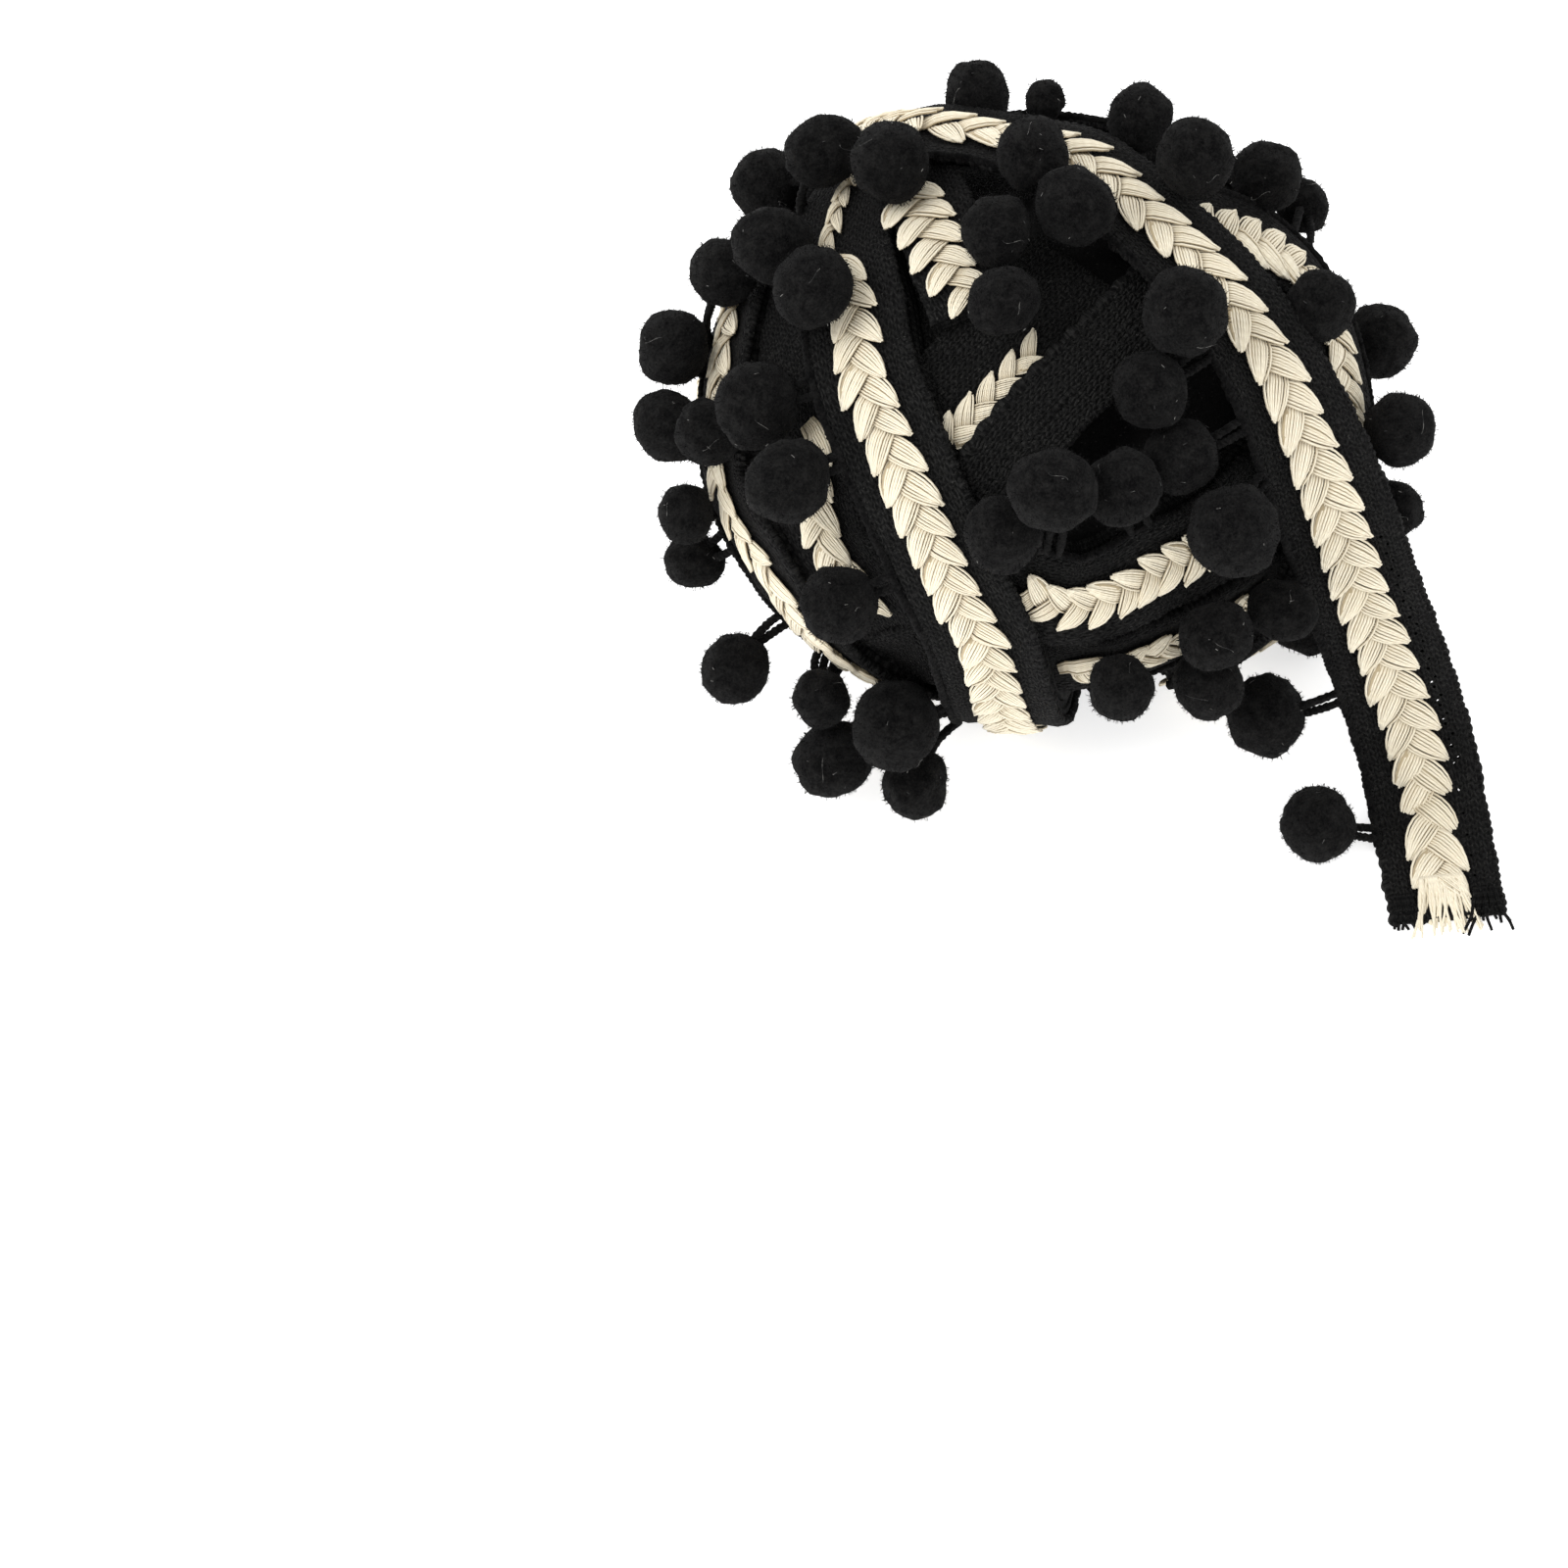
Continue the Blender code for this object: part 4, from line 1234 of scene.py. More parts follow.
@dataclass(frozen=True)
class CottonFinish:
    """Cream cotton yarn: fine twisted threads with tan shadows between them."""

    name: str = "cream_cotton_yarn"
    cream: Numbers = (0.83, 0.75, 0.58, 1.0)
    pale: Numbers = (0.9, 0.845, 0.7, 1.0)
    # tan is the painted shade between and under the threads, mixed in where the depth attribute is low
    shade_tan: Numbers = (0.43, 0.345, 0.215, 1.0)
    twist: float = 1.5
    slant: float = 2.0
    fuzz: Grain = Grain(3000.0, 3.0, 0.6)
    patch: Grain = Grain(260.0)
    # depths from this one up take no painted shade
    open_depth: float = 0.75
    ply_range: Pair = (0.8, 0.2)
    fuzz_range: Pair = (0.88, 0.24)
    raised: Numbers = (0.6, 0.4)
    relief: float = 0.00008
    roughness: float = 0.9
    sheen: float = 0.12
    shine: float = 0.25

    def make(self) -> Material:
        """Makes the material.

        Returns:
            The material.
        """
        paint = Paint(self.name)
        around, along, _ = paint.parts(paint.places("UV"))
        solid = paint.places("Object")
        ply = (along / self.twist + around * self.slant).wave()
        fuzz = paint.noise(solid, self.fuzz)
        # painted shade: a low depth attribute turns the cream tan in grooves, under overlapping leaves and
        # at their roots; the twist's grooves and the fuzz darken it a little too
        depth = paint.attribute("depth").eased(0.0, self.open_depth)
        colour = paint.blend(paint.noise(solid, self.patch), self.cream, self.pale)
        lit = depth * ply.ranged(*self.ply_range) * fuzz.ranged(*self.fuzz_range)
        colour = paint.blend(lit.least(1.0), self.shade_tan, colour)
        height = mixed(self.raised, (ply, fuzz))
        fixed = {"Sheen_Weight": self.sheen, "Specular_IOR_Level": self.shine}
        return paint.dress(colour, self.roughness, height, self.relief, **fixed)


@dataclass(frozen=True)
class FeltFinish:
    """Near-black felted wool, matt and a little mottled."""

    name: str = "felted_black_wool"
    dark: Numbers = (0.0010, 0.0010, 0.0012, 1.0)
    light: Numbers = (0.0175, 0.0170, 0.0164, 1.0)
    coarse: Grain = Grain(420.0, 3.0, 0.65)
    fine: Grain = Grain(1900.0, 3.0, 0.75)
    shaded: Numbers = (0.5, 0.6)
    band: Pair = (0.36, 0.88)
    raised: Numbers = (0.4, 0.6)
    relief: float = 0.0006
    sheen: float = 0.024
    shine: float = 0.05

    def make(self) -> Material:
        """Makes the material.

        Returns:
            The material.
        """
        paint = Paint(self.name)
        solid = paint.places("Object")
        grains = (paint.noise(solid, self.coarse), paint.noise(solid, self.fine))
        colour = paint.blend(mixed(self.shaded, grains).eased(*self.band), self.dark, self.light)
        fixed = {"Sheen_Weight": self.sheen, "Specular_IOR_Level": self.shine}
        return paint.dress(colour, 1.0, mixed(self.raised, grains), self.relief, **fixed)


@dataclass(frozen=True)
class LintFinish:
    """Pale specks and hairs caught in the felt."""

    name: str = "pale_lint"
    grey: Numbers = (0.05, 0.05, 0.05, 1.0)
    white: Numbers = (0.26, 0.255, 0.24, 1.0)
    patch: Grain = Grain(700.0, 1.0)
    band: Pair = (0.4, 0.65)
    relief: float = 0.00002
    roughness: float = 0.95
    shine: float = 0.2

    def make(self) -> Material:
        """Makes the material.

        Returns:
            The material.
        """
        paint = Paint(self.name)
        patch = paint.noise(paint.places("Object"), self.patch)
        colour = paint.blend(patch.eased(*self.band), self.grey, self.white)
        return paint.dress(colour, self.roughness, patch, self.relief, Specular_IOR_Level=self.shine)


@dataclass(frozen=True)
class FloorFinish:
    """A plain pale floor with the faintest mottle."""

    name: str = "pale_floor"
    shade: Numbers = (0.93, 0.93, 0.93, 1.0)
    bright: Numbers = (0.97, 0.97, 0.97, 1.0)
    glow: float = 0.65
    patch: Grain = Grain(6.0)
    relief: float = 0.00001
    roughness: float = 0.95

    def make(self) -> Material:
        """Makes the material.

        Returns:
            The material.
        """
        paint = Paint(self.name)
        patch = paint.noise(paint.places("Object"), self.patch)
        colour = paint.blend(patch, self.shade, self.bright)
        paint.feed(paint.shader.inputs["Emission Color"], colour)
        fixed = {"Specular_IOR_Level": 0.0, "Emission_Strength": self.glow}
        return paint.dress(colour, self.roughness, patch, self.relief, **fixed)


class Finishes:
    """Every material of the part, made once."""

    def __init__(self) -> None:
        """Makes them."""
        self.tape = TapeFinish().make()
        self.pierced = TapeFinish("knitted_black_tape_pierced", True).make()
        self.cotton = CottonFinish().make()
        self.felt = FeltFinish().make()
        self.lint = LintFinish().make()
        self.floor = FloorFinish().make()


def settle(piece: Piece, finish: Finish, material: Material | None, *nodes: str) -> Piece:
    """Gives a finished piece its material and body, keeps it above the floor, and hides the CAD nodes that
    it stands for.

    Args:
        piece: The piece.
        finish: Not used.
        material: Its material, unless it has one already.
        nodes: The CAD nodes that it stands for.

    Returns:
        The piece.
    """
    places = np.empty(len(piece.data.vertices) * 3, np.float32)
    piece.data.vertices.foreach_get("co", places)
    places[2::3] = np.maximum(places[2::3], FLOOR_SKIN * MM)
    piece.data.vertices.foreach_set("co", places)
    piece.data.update()
    if material is not None:
        piece.data.materials.clear()
        piece.data.materials.append(material)
    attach(piece, BODY)
    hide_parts(*nodes)
    piece.data.calc_loop_triangles()
    LOG.info("%s: %d triangles", piece.name, len(piece.data.loop_triangles))
    return piece


def dressed(name: str, cloth: Cloth, finish: Finish, material: Material, *nodes: str) -> Piece:
    """Makes a finished piece of a mesh."""
    return settle(link(name, cloth.to_mesh(name)), finish, material, *nodes)


# ---------------- the ball's turns


@dataclass(frozen=True)
class WoundCore:
    """The dark inside of the ball: a lumpy oval, and the inner turns wound on it."""

    winding: Winding
    rings: int = 72
    segments: int = 120
    sunk: float = 2.4
    lump: float = 0.9
    lump_size: float = 0.09
    lump_stretch: float = 2.2
    inner_turns: int = 8
    inner_steps: int = 96
    inner_spread: Triple = (1.0, 0.6, 0.5)
    inner_aside: Triple = (0.3, 0.9, 0.2)
    inner_top: float = -0.3
    inner_drop: float = 0.25
    inner_thickness: float = 1.5
    inner_phase: float = 1.7
    hollow_margin: float = 8.0
    floor_gap: float = 0.3
    seed: int = 5

    def oval(self) -> Cloth:
        """Makes the oval with its hollow.

        Returns:
            The closed mesh.
        """
        hollow = BALL.direction((*BALL.hollow_place, 1)) * BALL.sizes
        radii = BALL.sizes - self.sunk
        rows = [[1.0, 0.0, 0.0]]
        for i in range(1, self.rings):
            polar = math.pi * i / self.rings
            turn = np.arange(self.segments) * (2 * math.pi / self.segments)
            ring = np.stack([np.full_like(turn, math.cos(polar)), np.cos(turn), np.sin(turn)], axis=1)
            ring[:, 1:] *= math.sin(polar)
            rows += ring.tolist()
        rows.append([-1.0, 0.0, 0.0])
        flat = np.array(rows)
        rows = flat * BALL.sizes
        lumps = [noise.noise(Vector(row) / self.lump_size / MM_PER_CM * self.lump_stretch) for row in rows]
        places = flat * (radii + self.lump * np.array(lumps)[:, None])
        away = np.linalg.norm(places - hollow, axis=1) / BALL.hollow_radius
        places = places - unit(hollow) * (BALL.hollow_depth * np.exp(-(away**2)))[:, None]
        faces: list[tuple[int, ...]] = []
        last = 1 + (self.rings - 2) * self.segments
        for j in range(self.segments):
            k = (j + 1) % self.segments
            faces.append((0, 1 + j, 1 + k))
            faces.append((len(places) - 1, last + k, last + j))
            for i in range(self.rings - 2):
                here, there = 1 + i * self.segments, 1 + (i + 1) * self.segments
                faces.append((here + j, there + j, there + k, here + k))
        return Cloth(BALL.world(places), faces)

    def inner(self) -> list[Cloth]:
        """Makes the inner turns: great rings round the oval at many slants, each a little further in.

        Returns:
            Their meshes.
        """
        rng = np.random.default_rng(self.seed)
        made = []
        for number in range(self.inner_turns):
            pole = unit(rng.normal(size=3) * self.inner_spread)
            side = unit(np.cross(pole, self.inner_aside))
            other = np.cross(pole, side)
            angles = np.arange(self.inner_steps) * (2 * math.pi / self.inner_steps)
            rows = np.cos(angles)[:, None] * side + np.sin(angles)[:, None] * other
            normals = unit(rows / BALL.sizes) @ BALL.axes
            route = Route("inner", BALL.world(rows * BALL.sizes), normals, 0.0, TRIM.width, True)
            hollow = BALL.world(BALL.direction((*BALL.hollow_place, 1)) * BALL.sizes)
            nearest = np.min(np.linalg.norm(route.points - hollow, axis=1))
            if nearest < BALL.hollow_radius + self.hollow_margin:
                continue
            top = self.inner_top - self.inner_drop * number
            phase = number * self.inner_phase
            ribbon = Ribbon(route, top, self.inner_thickness, phase, step=2.4, across=6)
            made.append(ribbon.cloth())
        return made

    def dress(self, finishes: Finishes) -> Piece:
        """Makes the finished piece, flat where it meets the floor."""
        whole = Cloth.plain([self.oval(), *self.inner()], self.floor_gap)
        return dressed("wound_core", whole, Finish.TAPE, finishes.tape, "wound_ball")


@dataclass(frozen=True)
class TapeTurn:
    """One wound turn of tape with its edges, and the layers that it lies on."""

    turn: Turn
    route: Route
    seed: float
    thickness: float = 1.55
    layer_step: float = 1.75
    layer_width: float = 0.93
    layer_narrowing: float = 0.02
    layer_thickening: float = 0.1
    layer_shift: float = 0.5
    layer_phase: float = 2.1
    lowest_top: float = -0.9
    seam_inset: float = 0.85
    seam_thickness: float = 0.7
    cord: EdgeCord = EdgeCord()
    chain: EdgeCord = EdgeCord(radius=0.55, pitch=2.1, inset=0.0, sway=0.1)
    hem: EdgeCord = EdgeCord(radius=0.7, pitch=4.5, steps=8, inset=0.3, sway=0.0, beading=1.2)

    def stretch(self, layer: int) -> Ribbon:
        """The tape of one layer, the top one being 0.

        Args:
            layer: The layer.

        Returns:
            Its ribbon.
        """
        route, width = self.route, self.turn.width
        if layer == 0:
            roll = 0.45 if self.turn.plait else 0.0
            return Ribbon(
                route, route.top, self.thickness, self.seed, width=width, step=1.3, across=12, wave=0.3,
                roll=roll)
        top = route.top - layer * self.layer_step
        shift = self.layer_shift * math.sin(self.seed + self.layer_phase * layer)
        width = width * (self.layer_width - self.layer_narrowing * (layer % 2))
        return Ribbon(
            route, top, self.thickness + self.layer_thickening, self.seed + layer, shift=shift,
            width=width, step=2.6, across=4, wave=0.1, roll=0.0)

    def build(self) -> Cloth:
        """Makes the tape, its two edges and the layers below.

        Returns:
            The mesh.
        """
        top = self.stretch(0)
        parts = [top.cloth(), top.edge_cord(1, self.cord), top.edge_cord(-1, self.cord)]
        if not self.turn.plait:
            seam = replace(top, width=2 * self.seam_inset, thickness=self.seam_thickness)
            parts += [seam.edge_cord(1, self.chain), seam.edge_cord(-1, self.chain)]
            parts.append(top.edge_cord(1, self.hem))
        layer = 1
        while self.route.top - layer * self.layer_step > self.lowest_top:
            parts.append(self.stretch(layer).cloth())
            layer += 1
        return Cloth.plain(parts, TRIM.floor_gap)

    def dress(self, finishes: Finishes) -> Piece:
        """Makes the finished piece."""
        name = f"{self.turn.name}_tape"
        return dressed(name, self.build(), Finish.TAPE, finishes.tape, "wound_ball")


# ---------------- the plait


# how far one leaf is from the next on its side when leaves have their full length
LEAF_PITCH = 6.6


@dataclass(frozen=True)
class Leaf:
    """One leaf of the plait: threads that leave the middle side by side and meet in a blunt tip."""

    side: int
    variant: int
    threads: int = 9
    steps: int = 7
    sides: int = 5
    radius: float = 0.285
    start: Pair = (-0.6, -1.5)
    tip: Pair = (7.9, 5.15)
    lean: float = math.radians(40.0)
    half: float = 1.8
    fullness: float = 1.85
    bow: float = 0.95
    point: float = 0.36
    crown: float = 1.15
    tilt: float = 0.25
    seed: int = 100
    knee_shares: Pair = (0.45, 0.55)
    tip_round: float = 0.9
    wild: Numbers = (0.08, 0.1, 0.09, 0.09)
    climb: Pair = (0.1, 0.3)
    fall: Pair = (0.6, 0.4)
    fall_share: float = 0.6
    low: float = 0.1
    side_drop: float = 0.22
    # painted shade, as depths that the cotton turns tan: low at the leaf's root, where it comes from under
    # the leaf before, lower on its outermost threads where leaves overlap, and on each thread's lower side
    # in the grooves
    root_depth: float = 0.35
    side_depth: float = 0.2
    thinning: float = 0.12
    gap_depth: float = 0.2
    gap_band: Pair = (0.25, 0.65)
    # a flat sheet under the threads, deep in painted shade, that shows tan in the gaps between them
    bed_sides: int = 6
    bed_widths: Triple = (0.75, 0.4, 0.7)
    bed_depth: float = 0.12
    bed_drop: float = 0.3
    bed_height: float = 0.08

    def build(self) -> Cloth:
        """Makes the leaf: ahead along +X, to its side along Y, up along Z.

        Returns:
            The mesh.
        """
        rng = np.random.default_rng(self.seed + self.variant)
        root, point = np.array(self.start), np.array(self.tip)
        ahead = np.array([math.cos(self.lean), math.sin(self.lean)])
        beside = np.array([-ahead[1], ahead[0]])
        knee_wild, tip_wild, high_wild, radius_wild = self.wild
        yarns = []
        for number in range(self.threads):
            share = number / (self.threads - 1) * 2 - 1
            start = root + beside * share * self.half
            knee = root * self.knee_shares[0] + point * self.knee_shares[1]
            knee = knee + beside * (share * self.half * self.fullness + self.bow)
            tip = point + beside * share * self.half * self.point - ahead * self.tip_round * share**2
            knee = knee + knee_wild * rng.normal(size=2)
            tip = tip + tip_wild * rng.normal(size=2)
            flat, t = bowed(start, knee, tip, self.steps)
            flat[:, 1] *= self.side
            run = t[:, 0]
            up, down = eased(run, *self.climb), eased(run, *self.fall)
            rise = up * (1 - self.fall_share * down)
            high = self.low + self.crown * rise * (1 - self.side_drop * share**2) - self.tilt * share * rise
            path = np.column_stack([flat, high + high_wild * rng.normal()])
            # painted shade along each thread: dark at the root, lit further on, and darker on the outermost
            # threads
            lit = np.clip((run - self.climb[0]) / self.climb[1], 0, 1)
            depth = (self.root_depth + (1 - self.root_depth) * lit) * (1 - self.side_depth * abs(share) ** 4)
            radius = self.radius * (1 - self.thinning * run**3)
            radius = radius * (1 + radius_wild * rng.normal())
            yarn = tube(path, radius, self.sides, depth=depth)
            # painted shade in the grooves: the lower side of each thread is darker
            above = (yarn.places[:, 2] - np.repeat(path[:, 2], self.sides)) / self.radius
            lit = np.clip((above - self.gap_band[0]) / self.gap_band[1], 0, 1)
            yarn.shade_depths = yarn.shade_depths * (self.gap_depth + (1 - self.gap_depth) * lit)
            yarns.append(yarn)
            if number == self.threads // 2:
                yarns.append(self.shade_bed(path, run))
        return Cloth.joined(yarns)

    def shade_bed(self, path: Rows, run: Rows) -> Cloth:
        """Makes a flat sheet under the threads, deep in painted shade, that shows tan in the gaps between
        them.

        Args:
            path: The middle thread's path.
            run: How far along it each place is, from 0 to 1.

        Returns:
            The mesh.
        """
        wide, middle, end = self.bed_widths
        radii = self.half * (wide + middle * np.sin(math.pi * run) - end * run**3)
        shade_bed = tube(path, radii, self.bed_sides, depth=self.bed_depth)
        high = np.repeat(path[:, 2], self.bed_sides)
        shade_bed.places[:, 2] = high - self.bed_drop + self.bed_height * (shade_bed.places[:, 2] - high)
        return shade_bed


@dataclass(frozen=True)
class PlaitSpan:
    """Where one plait runs on a route, how wide, how far beside its middle, and whether it points back."""

    route: Route
    start: float
    end: float
    width: float
    beside: float = 0.0
    drift: float = 0.0
    taper: float = 1.0
    pitch: float = LEAF_PITCH
    back: bool = False


@dataclass
class Plaiting:
    """Lays plaits along routes with one geometry tree."""

    finishes: Finishes
    kinds: int = 3
    fine_step: float = 0.5
    lift: float = 0.02
    sway: float = 0.08
    unevenness: float = 0.03
    seed_step: int = 7

    def __post_init__(self) -> None:
        """Makes the leaves and the tree."""
        sides = (1, -1) * self.kinds
        self.leaves = shelf("leaf", [Leaf(side, number).build() for number, side in enumerate(sides)])
        self.nodes = self.tree()

    def tree(self) -> Nodes:
        """Makes the tree that sets a leaf on each point, turned to its facing and its way ahead.

        Returns:
            The tree.
        """
        nodes = Nodes("plait_leaves", Leaves="Collection")

        def stored(kind: str, name: str) -> Socket:
            """Reads an attribute of the points."""
            node = nodes.node("GeometryNodeInputNamedAttribute", {"data_type": kind}, {"Name": name})
            return node.outputs["Attribute"]

        settings = {"primary_axis": "Z", "secondary_axis": "X"}
        values = {0: stored("FLOAT_VECTOR", "facing"), 1: stored("FLOAT_VECTOR", "ahead")}
        turned = nodes.node("FunctionNodeAxesToRotation", settings, values)
        pick, grow = stored("INT", "leaf"), stored("FLOAT_VECTOR", "grow")
        nodes.finish(nodes.scatter(nodes.given("Geometry"), "Leaves", pick, turned.outputs[0], grow))
        return nodes

    def lay(self, name: str, span: PlaitSpan) -> Piece:
        """Lays one plait's points.

        Args:
            name: The piece's name.
            span: Where it runs.

        Returns:
            The piece, not yet settled.
        """
        route = span.route
        fine = np.arange(span.start, span.end, self.fine_step)
        if not route.closed:
            fine = fine[(fine >= 0.0) & (fine <= route.length)]
        line = route.place(fine, span.beside, np.full(len(fine), route.top))
        runs = lengths_along(line)
        at = np.interp(np.arange(0.0, runs[-1], span.pitch / 2), runs, fine)
        rng = np.random.default_rng(len(name) * self.seed_step + int(span.start))
        ahead, _, facing = route.axes(at)
        ahead = -ahead if span.back else ahead
        beside = span.beside + span.drift * (at - span.start) / (span.end - span.start)
        beside = beside + self.sway * rng.normal(size=len(at))
        places = route.place(at, beside, np.full(len(at), route.top + self.lift))
        mesh = bpy.data.meshes.new(name)
        mesh.from_pydata((places * MM).tolist(), [], [])
        wide = span.width / TRIM.plait_width
        taper = np.linspace(1.0, span.taper, len(at))[:, None]
        grow = np.ones((len(at), 3)) * (span.pitch / LEAF_PITCH, wide, 1.0) * taper
        grow = grow * (1 + self.unevenness * rng.normal(size=(len(at), 1)))
        for key, rows in (("ahead", ahead), ("facing", facing), ("grow", grow)):
            stored = mesh.attributes.new(key, "FLOAT_VECTOR", "POINT")
            stored.data.foreach_set("vector", np.asarray(rows, np.float32).ravel())
        leaf = mesh.attributes.new("leaf", "INT", "POINT")
        number = np.arange(len(at))
        leaf.data.foreach_set("value", ((number // 2 % self.kinds) * 2 + number % 2).astype(np.int32))
        return link(name, mesh)

    def dress(self, name: str, span: PlaitSpan, *nodes: str) -> Piece:
        """Makes one finished plait piece.

        Args:
            name: The piece's name.
            span: Where it runs.
            nodes: The CAD nodes that it stands for.

        Returns:
            The piece.
        """
        values = {"Leaves": self.leaves, "Material": self.finishes.cotton}
        return settle(self.nodes.apply(self.lay(name, span), values), Finish.COTTON, None, *nodes)


# ---------------- the fringe


@dataclass(frozen=True)
class Head:
    """A pompom: its place, its radius, and where its loop leaves the tape's edge."""

    place: Rows
    radius: float
    root: float
    number: int


@dataclass
class PomPomPlaces:
    """Finds where every pompom rests: each pushed clear of the others, the turns and the floor."""

    winding: Winding
    point_step: float = 4.0
    core_step: float = 0.09
    core_size: float = 2.4
    border_size: float = 1.8
    pushes: int = 400
    homing: float = 0.03
    push_shares: Triple = (0.7, 0.9, 0.9)
    homing_share: float = 0.75
    out_share: float = 0.3
    clearance: float = 0.6
    lift_share: float = 0.5
    shares: Numbers = (-0.43, -0.21, 0.0, 0.21, 0.43)
    sink: float = 1.0
    root_step: float = 1.0
    heads: dict[str, list[Head]] = field(default_factory=dict)

    def __post_init__(self) -> None:
        """Fills the list of heads for every stretch of fringe."""
        routes = self.winding.routes
        starts = [self.start_of(bob) for kind in FRINGES for bob in kind.bobs]
        radii = [float(bob.radius) for kind in FRINGES for bob in kind.bobs]
        for kind in REAR_FRINGES:
            route = routes[kind.turn]
            beside = self.middle_of(route, kind.edge) + kind.edge * TRIM.pompom_radius
            for root in kind.roots():
                starts.append(route.place(root, beside, route.top + TRIM.pompom_radius))
                radii.append(TRIM.pompom_radius)
        places = self.push(np.array(starts), np.array(radii))
        first = 0
        for kind in (*FRINGES, *REAR_FRINGES):
            route = routes[kind.turn]
            if isinstance(kind, RearFringe):
                last = first + kind.count
                roots = kind.roots()
            else:
                last = first + len(kind.bobs)
                roots = self.roots(route, kind.edge, places[first:last])
            rows = zip(places[first:last], radii[first:last], roots, range(first, last))
            self.heads[kind.name] = [Head(p, r, float(root), n) for p, r, root, n in rows]
            first = last

    def start_of(self, bob: Bob) -> Rows:
        """Where a pompom lies before it is pushed clear.

        Args:
            bob: Where it shows.

        Returns:
            The place in world axes.
        """
        radii = BALL.sizes + TRIM.pompom_lift + bob.radius * self.lift_share
        reach = (bob.across / radii[0]) ** 2 + (bob.up / radii[1]) ** 2
        return BALL.world([bob.across, bob.up, radii[2] * math.sqrt(max(0.0, 1 - reach))])

    def obstacles(self) -> tuple[Rows, Rows]:
        """Points all over the turns and the core, each with the radius of what it stands for.

        Returns:
            The places and the radii.
        """
        places: list[Rows] = []
        sizes: list[float] = []
        for route in self.winding.routes.values():
            for share in self.shares:
                on_border = abs(share) * route.width > TRIM.plait_width / 2
                size = self.border_size + (0.0 if on_border else TRIM.plait_height)
                for at in stations(0.0, route.length, self.point_step):
                    places.append(route.place(at, share * route.width, route.top - self.sink))
                    sizes.append(size)
        for polar in stations(self.core_step, math.pi - self.core_step, self.core_step):
            for turn in stations(0.0, 2 * math.pi, self.core_step / math.sin(polar)):
                flat = math.sin(polar)
                row = np.array([math.cos(polar), flat * math.cos(turn), flat * math.sin(turn)])
                places.append(BALL.world(row * (BALL.sizes - self.border_size)))
                sizes.append(self.core_size)
        return np.array(places), np.array(sizes)

    def push(self, places: Rows, radii: Rows) -> Rows:
        """Moves the pompoms until none presses on anything.

        Args:
            places: Where they start.
            radii: Their radii.

        Returns:
            Where they rest.
        """
        obstacles, sizes = self.obstacles()
        homes = places.copy()
        flat = BALL.axes[:2]
        for turn in range(self.pushes):
            ease = self.homing if turn < self.pushes * self.homing_share else 0.0
            places = places + ease * (homes - places) @ flat.T @ flat
            for i, radius in enumerate(radii):
                away = places[i] - places
                gaps = np.linalg.norm(away, axis=1)
                short = radius + radii + self.clearance - gaps
                short[i] = -1
                for j in np.nonzero(short > 0)[0]:
                    push = away[j] / gaps[j] * short[j] / 2 * self.push_shares
                    places[i] += push
                    places[j] -= push
                away = places[i] - obstacles
                gaps = np.linalg.norm(away, axis=1)
                short = radius + sizes - gaps
                near = np.nonzero(short > 0)[0]
                if len(near):
                    push = (away[near] / gaps[near, None] * short[near, None]).mean(axis=0)
                    out = unit(places[i] - BALL.centre) * short[near].max()
                    places[i] += (1 - self.out_share) * push + self.out_share * out
                places[i][2] = max(places[i][2], radius + TRIM.floor_gap)
        return places

    def middle_of(self, route: Route, edge: int) -> float:
        """How far the edge yarn's middle is from the middle of its tape."""
        return edge * (route.width / 2 + TRIM.selvedge_gap + TRIM.selvedge_width / 2)

    def root_near(self, route: Route, edge: int, place: Rows) -> float:
        """The length along an edge that is nearest to a pompom and not under another turn.

        Args:
            route: The turn's route.
            edge: Which edge.
            place: The pompom's place.

        Returns:
            The length.
        """
        beside = self.middle_of(route, edge)
        sides = (beside - TRIM.selvedge_width, beside + TRIM.selvedge_width)
        lengths = np.arange(TRIM.selvedge_end, route.length - TRIM.selvedge_end, self.root_step)
        edges = route.place(lengths, np.full(len(lengths), beside), np.zeros(len(lengths)))
        order = np.argsort(np.linalg.norm(edges - place, axis=1))
        for at in lengths[order]:
            span = (at - TRIM.selvedge_end, at, at + TRIM.selvedge_end)
            if not any(self.winding.is_under(route, near, sides) for near in span):
                return float(at)
        return float(lengths[order[0]])

    def roots(self, route: Route, edge: int, heads: Rows) -> Rows:
        """Where each pompom's loop leaves the edge, apart from the one before.

        Args:
            route: The turn's route.
            edge: Which edge.
            heads: The pompoms' places.

        Returns:
            The lengths along the route.
        """
        found = np.array([self.root_near(route, edge, head) for head in heads])
        order = np.argsort(found)
        for before, after in zip(order[:-1], order[1:]):
            found[after] = max(found[after], found[before] + TRIM.closest_roots)
        return found


@dataclass(frozen=True)
class FeltForm:
    """The sizes of a felted pompom."""

    subdivisions: int = 4
    turn: float = 1.3
    squash: float = 0.93
    squash_change: Pair = (0.06, 2.4)
    height_change: Triple = (0.07, 4.1, 1.0)
    lump: float = 0.1
    lump_step: Triple = (3.1, 0.0, 1.7)
    lump_scale: float = 1.6
    fine: float = 0.04
    fine_scale: float = 5.5
    finest_scale: float = 12.0
    finest_share: float = 0.6


